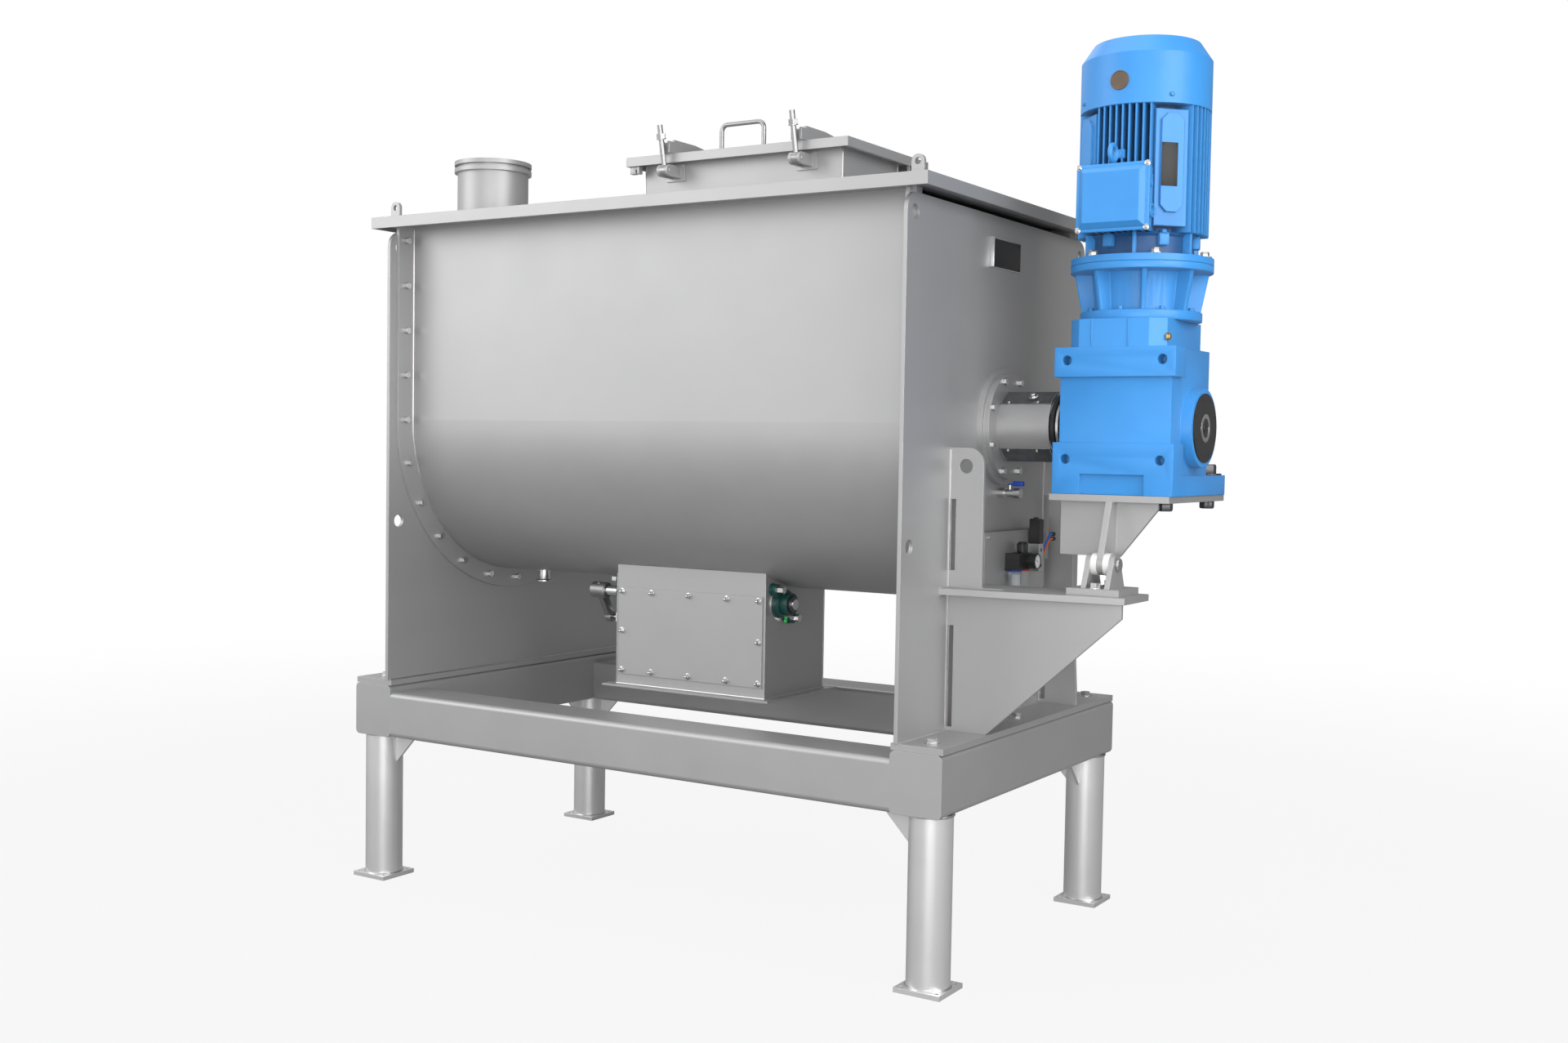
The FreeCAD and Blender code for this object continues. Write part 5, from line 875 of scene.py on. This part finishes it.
PANE_ENDS, PANE_ANGLES, STRIP_REACH = (883, 1021), range(38, 75, 6), 91.6
frames = []
for way in (-1, 1):
    for x in PANE_ENDS:
        arc = [on_guard(x, angle, way, STRIP_REACH)[0] for angle in PANE_ANGLES]
        frames.append(bead(arc, 1.1))
    for angle in (PANE_ANGLES[0], PANE_ANGLES[-1]):
        edge = [on_guard(x, angle, way, STRIP_REACH)[0] for x in PANE_ENDS]
        frames.append(bead(edge, 1.1))
dress(welded(frames), "guard_pane_frames", bolt_steel)
places = [on_guard(x, 41, way) for x in (905, 985) for way in (-1, 1)]
fasten(cap_screw(8), [aim(mm(*place), out) for place, out in places], "guard_pane_screws")
place, out = on_guard(963, 57)
fasten(hex_bolt(14), [aim(mm(*place), out)], "guard_pane_bolt")
print(len(frames), "frame strips,", len(places), "pane screws, 1 bolt")

# %% Sleeve of the purge valve's handle
sleeve = box_part((893, -14, 1204.5), (922, 2, 1217.5), 3.0, 3)
stem = turned([(5, 0), (5, 3.5), (4, 4), (1, 4)], sides=16)
stem.data.transform(shift(885, -6, 1206.5))
arm = box_part((879, -12, 1207.2), (900, 0, 1210.6), 0.8)
sleeve = dress(welded([sleeve, arm]), "purge_valve_sleeve", blue_plastic, "valve_handle")
dress(stem, "purge_valve_stem_nut", bolt_steel, "valve_handle")
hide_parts("purge_valve_handle")
print("purge valve handle")

# %% [markdown]
# ## Air service unit
#
# Filter and regulator stand side by side on a sheet bracket, each with a coloured ring at the
# top of its bowl. The gauge faces out of the machine's end, with a plain dial and a needle.
# The valve's coil is a black block on a silver one, and a blue and an orange tube leave it.

# %% Bowl rings
UNIT_X, FILTER_Y, REGULATOR_Y = 889, 22.8, 68.8


def ring_on_bowl(y, finish, name):
    ring = turned([(18.6, 0), (19.2, 0.8), (19.2, 4.2), (18.6, 5), (12, 5)], sides=36)
    fit_on(ring, [aim(mm(UNIT_X, y, 978))], name, finish)


ring_on_bowl(FILTER_Y, blue_plastic, "filter_bowl_ring")
ring_on_bowl(REGULATOR_Y, red_plastic, "lubricator_bowl_ring")
cup = turned([(9, 0), (10, 2), (10, 34), (8, 36), (2, 36)], sides=20)
moves = [aim(mm(UNIT_X, FILTER_Y, 936))]
fit_on(cup, moves, "filter_element", white_plastic)
print("2 bowl rings, 1 filter element")


# %% Gauge dial and needle
def on_gauge(x):
    """The move that lays a flat part on the gauge's face."""
    return aim(mm(x, REGULATOR_Y, 1004.6), RIGHT)


dial = turned([(17.4, 0), (17.4, 0.5), (2, 0.5)], sides=40)
fit_on(dial, [on_gauge(932.8)], "gauge_dial", dial_white)
bezel = turned([(17.2, 0), (20.4, 0), (20.8, 1), (20.2, 2.4), (18.2, 2.4), (17.2, 0.6)],
               sides=40)
bezel.data.transform(on_gauge(932.2))
marks = []
for step in range(11):
    mark = box_part((-0.35, 12.4, 0), (0.35, 16.0, 0.25), 0.05, 1)
    mark.data.transform(on_gauge(933.3) @ spun(135 - 27 * step))
    marks.append(mark)
needle = box_part((-0.6, -4, 0.3), (0.6, 13, 0.7), 0.15, 1)
needle.data.transform(on_gauge(933.3) @ spun(62))
dress(welded([bezel, needle] + marks), "gauge_bezel_and_needle", black_plastic)
print("dial with", len(marks), "marks")

# %% Black coil on the valve
COIL_LOW = 1.0475
solenoid = solids["solenoid_valve"].data
solenoid.materials.append(black_plastic)
for face in solenoid.polygons:
    if face.center.z > COIL_LOW:
        face.material_index = 1
lid = box_part((873, 148.2, 1108), (899.5, 173.8, 1114.5), 1.4)
nut = turned([(6.4, 0), (6.4, 3.4), (5.4, 4.4), (1, 4.4)], sides=6)
nut.data.transform(shift(886, 161, 1114))
plug = box_part((872, 149, 1071), (900.8, 173, 1073.4), 0.6, 1)
dress(welded([lid, nut, plug]), "coil_top_and_seam", black_plastic)
port = turned([(4.6, 0), (4.6, 0.8), (3.8, 1.0), (3.4, 0.3), (0.4, 0.3)], sides=16)
fasten(port, [aim(mm(903, 161, z), RIGHT) for z in (988, 1030)], "valve_ports", dark_steel)
print("valve coil:", sum(face.material_index for face in solenoid.polygons), "faces made black")

# %% Ribbed knob, panel screws and tube fittings
knob = turned([(13.6, 0), (13.6, 20), (13.0, 24), (11.5, 27), (9, 28.4), (1, 28.6)], sides=40)
ribs = []
for step in range(18):
    rib = box_part((13.0, -0.9, 2), (14.8, 0.9, 23), 0.4, 1)
    rib.data.transform(spun(20 * step))
    ribs.append(rib)
knob = welded([knob] + ribs)
knob.data.transform(shift(UNIT_X, REGULATOR_Y, 1027))
dress(knob, "regulator_knob_ribbed", black_plastic, "knob")
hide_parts("regulator_knob")
moves = [aim(mm(868.8, y, 1071), RIGHT) for y in (-101, 225)]
fasten(cap_screw(10), moves, "service_panel_screws")
fitting = turned([(5.6, 0), (5.6, 7), (4.8, 8.5), (4.8, 12), (4.0, 13), (3.4, 13)], sides=20)
spots = [(176, 1021, BACK), (176, 1008, BACK), (285, 1069, FRONT), (285, 1056, FRONT)]
fittings = [aim(mm(886, y, z), out) for y, z, out in spots]
fit_on(fitting, fittings, "tube_fittings", black_plastic)
print(len(moves), "panel screws,", len(spots), "tube fittings")

# %% [markdown]
# ## Discharge flap fittings
#
# The flap's shaft turns in two flange bearings. Each has a dark inner ring in a black seal,
# and a grease nipple with a green cap. Four tie rods pull the air cylinder's caps together.

# %% Bearing rings, seals and grease nipples
SHAFT_Y, SHAFT_Z = -137, 864
ENDS = ((1, RIGHT), (-1, LEFT))


def on_shaft(reach):
    """The moves to both ends of the flap's shaft, facing outwards."""
    return [aim(mm(side * reach, SHAFT_Y, SHAFT_Z), out) for side, out in ENDS]


seal = turned([(27, -1), (27, 0.8), (26, 1.4), (21, 1.4)], sides=36)
fit_on(seal, on_shaft(296), "bearing_seals", black_plastic)
inner = turned([(21.5, -1), (21.5, 5), (20.5, 6), (15.2, 6)], sides=36)
fit_on(inner, on_shaft(296), "bearing_inner_rings", dark_steel)
pad = turned([(50, -0.5), (51, 0.4), (51, 2.6), (50, 3.4), (30, 3.4)], sides=48)
fit_on(pad, on_shaft(256), "bearing_pads", bolt_steel)
nipple = turned([(4.5, 0), (4.5, 5), (3, 6), (3, 8), (5, 9), (5, 14), (4, 16), (1, 16)], sides=14)
moves = [aim(mm(side * 283, -146, 829), (0, -0.25, -1)) for side, out in ENDS]
fit_on(nipple, moves, "grease_nipple_caps", green_cap)
print("bearings: seals, inner rings and nipples")

# %% Lever on the flap's shaft
HUB, PIN = Vector((0, SHAFT_Y, SHAFT_Z)), Vector((0, -91, 782))
hub = turned([(21, 0), (24, 2), (24, 50), (21, 53), (15.4, 53), (15.4, 50)], sides=40)
hub.data.transform(aim(mm(-402.5, HUB.y, HUB.z), RIGHT))
reach = (PIN - HUB).length
arm = box_part((-9.5, -17, -reach), (9.5, 17, 0), 5.0, 3)
for vertex in arm.data.vertices:
    vertex.co.y *= 1.0 + 0.25 * vertex.co.z / (reach * 0.001)
lean = math.degrees(math.atan2(PIN.y - HUB.y, HUB.z - PIN.z))
arm.data.transform(shift(-376, HUB.y, HUB.z) @ spun(lean, "X"))
end = turned([(15, 0), (17, 2), (17, 18), (15, 20), (7, 20), (6.6, 19)], sides=32)
end.data.transform(aim(mm(-386, PIN.y, PIN.z), RIGHT))
set_screw = turned([(5, 0), (5, 3), (4, 4), (2.2, 4), (2.2, 1), (0.4, 1)], sides=16)
set_screw.data.transform(aim(mm(-376, HUB.y - 10, HUB.z + 21), (0, -0.4, 0.9)))
lever = dress(welded([hub, arm, end, set_screw]), "flap_lever_casting", lever_steel, "flap")
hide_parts("flap_lever")
print("lever", round(reach), "mm between its centres")

# %% Drain cap
drain = turned([(12, 862), (24, 862), (26, 863.5), (26, 867), (24, 868.5), (19, 869), (18, 871),
                (18, 899)], sides=36)
drain.data.transform(shift(-715, 0, 0))
dress(drain, "drain_tube_and_cap", bolt_steel)
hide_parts("drain_stub")
print("drain tube and cap")

# %% Cylinder tie rods and ports
ROD_PLACES = [(x, z) for x in (-355, -313) for z in (760.7, 802.7)]
ROD_ENDS = ((-55.5, FRONT), (158.5, BACK))
rod = turned([(3.2, 0), (3.2, 214), (2.8, 214.6), (1, 214.6)], sides=12)
rods = set_out(rod, [aim(mm(x, ROD_ENDS[0][0], z), BACK) for x, z in ROD_PLACES])
heads = set_out(hex_bolt(8, washer=False),
                [aim(mm(x, y, z), out) for x, z in ROD_PLACES for y, out in ROD_ENDS])
dress(welded([rods, heads]), "cylinder_tie_rods", bolt_steel)
port = turned([(7, 0), (7, 4), (5.5, 5), (5.5, 12), (4.5, 13), (3.4, 13)], sides=18)
moves = [aim(mm(-334, y, 809.5)) for y in (-42, 145)]
fit_on(port, moves, "cylinder_port_fittings", black_plastic)
print(len(ROD_PLACES), "tie rods,", len(moves), "ports")

# %% [markdown]
# ## Bolts of the frame and the gear unit
#
# The frame's bolts are stainless, with washers below them. Those at the gear unit's feet are
# blackened, so the solid's faces there take the dark finish, and larger nuts and heads stand
# over them.

# %% Washers and dark bolts
fastenings = solids["frame_fasteners"].data
fastenings.materials.append(dark_bolts)
for face in fastenings.polygons:
    if face.center.x > 1.08 and face.center.z > 1.1:
        face.material_index = 1
washer = turned([(18, 0), (19, 0.5), (19, 2.6), (18, 3.2), (12, 3.2)])
frame_moves = [aim(mm(x, y, 595.8)) for x in (-912, 912) for y in (-480, 0, 480)]
fasten(washer, frame_moves, "frame_bolt_washers")
FOOT_SIDES = (1108, 1344)
foot_nuts = set_out(hex_bolt(38), [aim(mm(x, 198, 1242.8)) for x in FOOT_SIDES])
foot_heads = set_out(hex_bolt(33, washer=False),
                     [aim(mm(x, y, 1177.2), DOWN) for x in FOOT_SIDES for y in (-120, 198)])
dress(welded([foot_nuts, foot_heads]), "gear_foot_bolts", dark_bolts)
washer = turned([(16, 0), (17, 0.5), (17, 2.4), (16, 3.0), (10, 3.0)])
base_moves = [aim(mm(MOTOR_X, y, 970.8)) for y in (-164.2, -259.8)]
fasten(washer, base_moves, "clevis_base_washers")
print(len(frame_moves) + len(base_moves), "washers")

# %% Small bracket under the hatch's rim
sheets = [box_part((-62, -426, 2024), (-44, -410, 2046), 2.0),
          box_part((-39, -426, 2024), (-31, -410, 2046), 1.5),
          box_part((-50, -424, 2036), (-33, -412, 2045), 1.0)]
dress(welded(sheets), "hatch_stay_bracket", plate_steel, "hatch")
print("stay bracket:", len(sheets), "sheets")

# %% [markdown]
# ## Bare plate on the end of the machine
#
# A dark plate is held in a light frame on the right end plate. On this part it stays bare,
# but it has the frame, the four rivets and the dull face of the real one.

# %% Plate in its frame
frame_sheet = box_part((852, -90, 1770), (854, 92, 1848), 0.6)
folded = box_part((852, -94, 1770), (864, -90.5, 1848), 0.8)
dress(welded([frame_sheet, folded]), "plate_holder", bright_steel)
face = box_part((853.5, -82, 1773), (856.5, 86, 1845), 0.5)
rivets = set_out(turned([(2.6, 0), (2.4, 0.9), (1.3, 1.4), (0.3, 1.5)], sides=12),
                 [aim(mm(856.3, y, z), RIGHT) for y in (-77, 81) for z in (1778, 1840)])
dress(welded([face, rivets]), "bare_dark_plate", plate_metal)
print("bare plate in its frame")

# %% [markdown]
# ## Welds of the machine
#
# The beads lie where plates meet: round the legs, along the end plates, round the inlet and
# the hatch's collar, down the discharge box, and along the plates that carry the drive.

# %% Welds of the frame and legs
welds = []
for x in (-916, 916):
    for y in (-484, 484):
        for z in (428, 12):
            welds.append(bead(circle((x, y, z), 54.5), 3.0, closed=True))
for x in (-841.5, -852.5, 841.5, 852.5):
    welds.append(bead([(x, -535, 596), (x, 535, 596)], 2.8))
dress(welded(welds), "frame_welds", weld_steel)
print(len(welds), "frame and leg welds")

# %% Welds of the lid, inlet and hatch collar
LID_TOP = 1944
welds = [bead(circle((-634, -340, LID_TOP), 102.5), 2.6, closed=True),
         bead(corners_of(-33.5, 583.5, -392.5, -104.5, LID_TOP), 2.4, closed=True)]
for x, y, z in corners_of(-33.2, 583.2, -392.2, -104.8, LID_TOP + 2):
    welds.append(bead([(x, y, z), (x, y, 2052)], 1.4))
for x in (-858, 858):
    for y in (-509.5, 500.5):
        welds.append(bead([(x - 15, y, LID_TOP), (x + 15, y, LID_TOP)], 2.0))
for x in (79.5, 86.5, 489.5, 496.5):
    welds.append(bead([(x, -425, 2068), (x, -230, 2068)], 1.8))
dress(welded(welds), "lid_welds", weld_steel)
print(len(welds), "lid welds")

# %% Welds of the trough, discharge box and drive bracket
PLATE_FACE = 852.5
welds = []
for x in (-831.5, 831.5):
    arc = circle((x, 0, AXIS_Z), 460.5, "x", 180, 180, 60)
    welds.append(bead([(x, -460.5, 1915)] + arc + [(x, 460.5, 1915)], 2.6))
for x, y, z in corners_of(-256.3, 256.3, -210.3, 100.3, 607):
    welds.append(bead([(x, y, z), (x, y, 925 if y < 0 else 905)], 1.5))
welds.append(bead(corners_of(-256.5, 256.5, -210.5, 100.5, 605), 2.2, closed=True))
for y in (-295.3, -284.7, 284.7, 295.3):
    welds.append(bead([(PLATE_FACE, y, 600), (PLATE_FACE, y, 1298)], 2.4))
for y in (-295.5, -284.5):
    welds.append(bead([(856, y, 955.5), (1000, y, 955.5)], 2.2))
for z in (955.5, 938.5):
    welds.append(bead([(PLATE_FACE, -340, z), (PLATE_FACE, -140, z)], 2.4))
for x in (MOTOR_X - 8.3, MOTOR_X + 8.3):
    welds.append(bead([(x, -180, 1176.5), (x, 20, 1176.5)], 2.2))
dress(welded(welds), "trough_and_bracket_welds", weld_steel)
print(len(welds), "trough and bracket welds")

# %% [markdown]
# ## Floor and light
#
# The machine stands on a plain pale floor in a white studio. The camera sees the floor and
# the room as white, and the steel mirrors a part of that white, most of it from the front,
# while the lamps stay at a plain level. Large soft lamps give the steel its slow gradients.

# %% Floor
WHITE = (1, 1, 1, 1)
FRONTWARD = (-0.47, -0.88, 0)
bpy.ops.mesh.primitive_plane_add(size=60)
floor = bpy.context.object
floor.name = "studio_floor"


def floor_finish():
    """A matt card that the camera sees as white, and whose far front is mirrored as white."""
    card = Finish("pale_studio_floor")
    cloud = card.noise(0.8, 3.0)
    colour = card.mix(cloud.above(0.5, 0.4), (0.27, 0.27, 0.27), (0.30, 0.30, 0.30))
    matt = card.add("ShaderNodeBsdfDiffuse", {}, {"Color": colour})
    white = card.add("ShaderNodeEmission", {}, {"Color": WHITE, "Strength": 1.0})
    here = card.here()
    far = card.of_vectors("LENGTH", here).above(4.6, 2.6)
    lit = far * card.of_vectors("DOT_PRODUCT", here, FRONTWARD).above(1.0, 4.0)
    share = card.ray("Camera") * (0.90 + far * 0.10) + card.ray("Glossy") * (0.06 + lit * 0.75)
    shader = card.add("ShaderNodeMixShader", {}, {0: share, 1: matt, 2: white})
    card.add("ShaderNodeOutputMaterial", {}, {"Surface": shader})
    return card.owner


floor.data.materials.append(floor_finish())
print("floor", tuple(round(size, 1) for size in floor.dimensions))

# %% Room
ROOM_FRONT = (-0.45, -0.85, 0.25)
room = Finish("white_studio", "worlds")
bpy.context.scene.world = room.owner


def glow(strength):
    """Plain white light from all round."""
    return room.add("ShaderNodeBackground", {}, {"Color": WHITE, "Strength": strength})


towards = room.add("ShaderNodeTexCoord", output="Generated")
frontness = room.of_vectors("DOT_PRODUCT", towards, ROOM_FRONT).above(0.0, 0.7)
lighting = room.add("ShaderNodeMixShader", {}, {0: frontness, 1: glow(0.17), 2: glow(0.90)})
seen = room.ray("Camera") + room.ray("Glossy") * 0.12 + room.ray("Transmission")
share = seen.maths("MINIMUM", seen, 1.0)
both = room.add("ShaderNodeMixShader", {}, {0: share, 1: lighting, 2: glow(1.0)})
room.add("ShaderNodeOutputWorld", {}, {"Surface": both})
print("room:", len(room.tree.nodes), "nodes")


# %% Lamps
def soft_lamp(name, place, aim_at, size, power):
    """A large soft lamp, in watts, that the camera doesn't see."""
    bpy.ops.object.light_add(type="AREA", location=place)
    lamp = bpy.context.object
    lamp.name = name
    lamp.data.shape = "RECTANGLE"
    lamp.data.size, lamp.data.size_y = size
    lamp.data.energy = power
    lamp.visible_camera = False
    lamp.rotation_euler = (Vector(aim_at) - Vector(place)).to_track_quat("-Z", "Y").to_euler()


soft_lamp("soft_left", (-4.4, -4.8, 3.4), (-0.2, 0, 1.2), (4.0, 3.6), 104)
soft_lamp("soft_right", (5.0, -1.6, 2.8), (0.9, 0, 1.3), (3.0, 3.4), 130)
soft_lamp("soft_front", (3.2, -5.6, 1.1), (0.8, 0, 0.7), (4.0, 2.2), 116)
soft_lamp("soft_behind", (-3.4, 3.4, 5.0), (-0.4, 0.2, 1.0), (3.0, 3.0), 34)
soft_lamp("soft_above", (0.0, -0.6, 5.6), (0, 0, 1.0), (4.0, 3.0), 42)
print("five soft lamps")
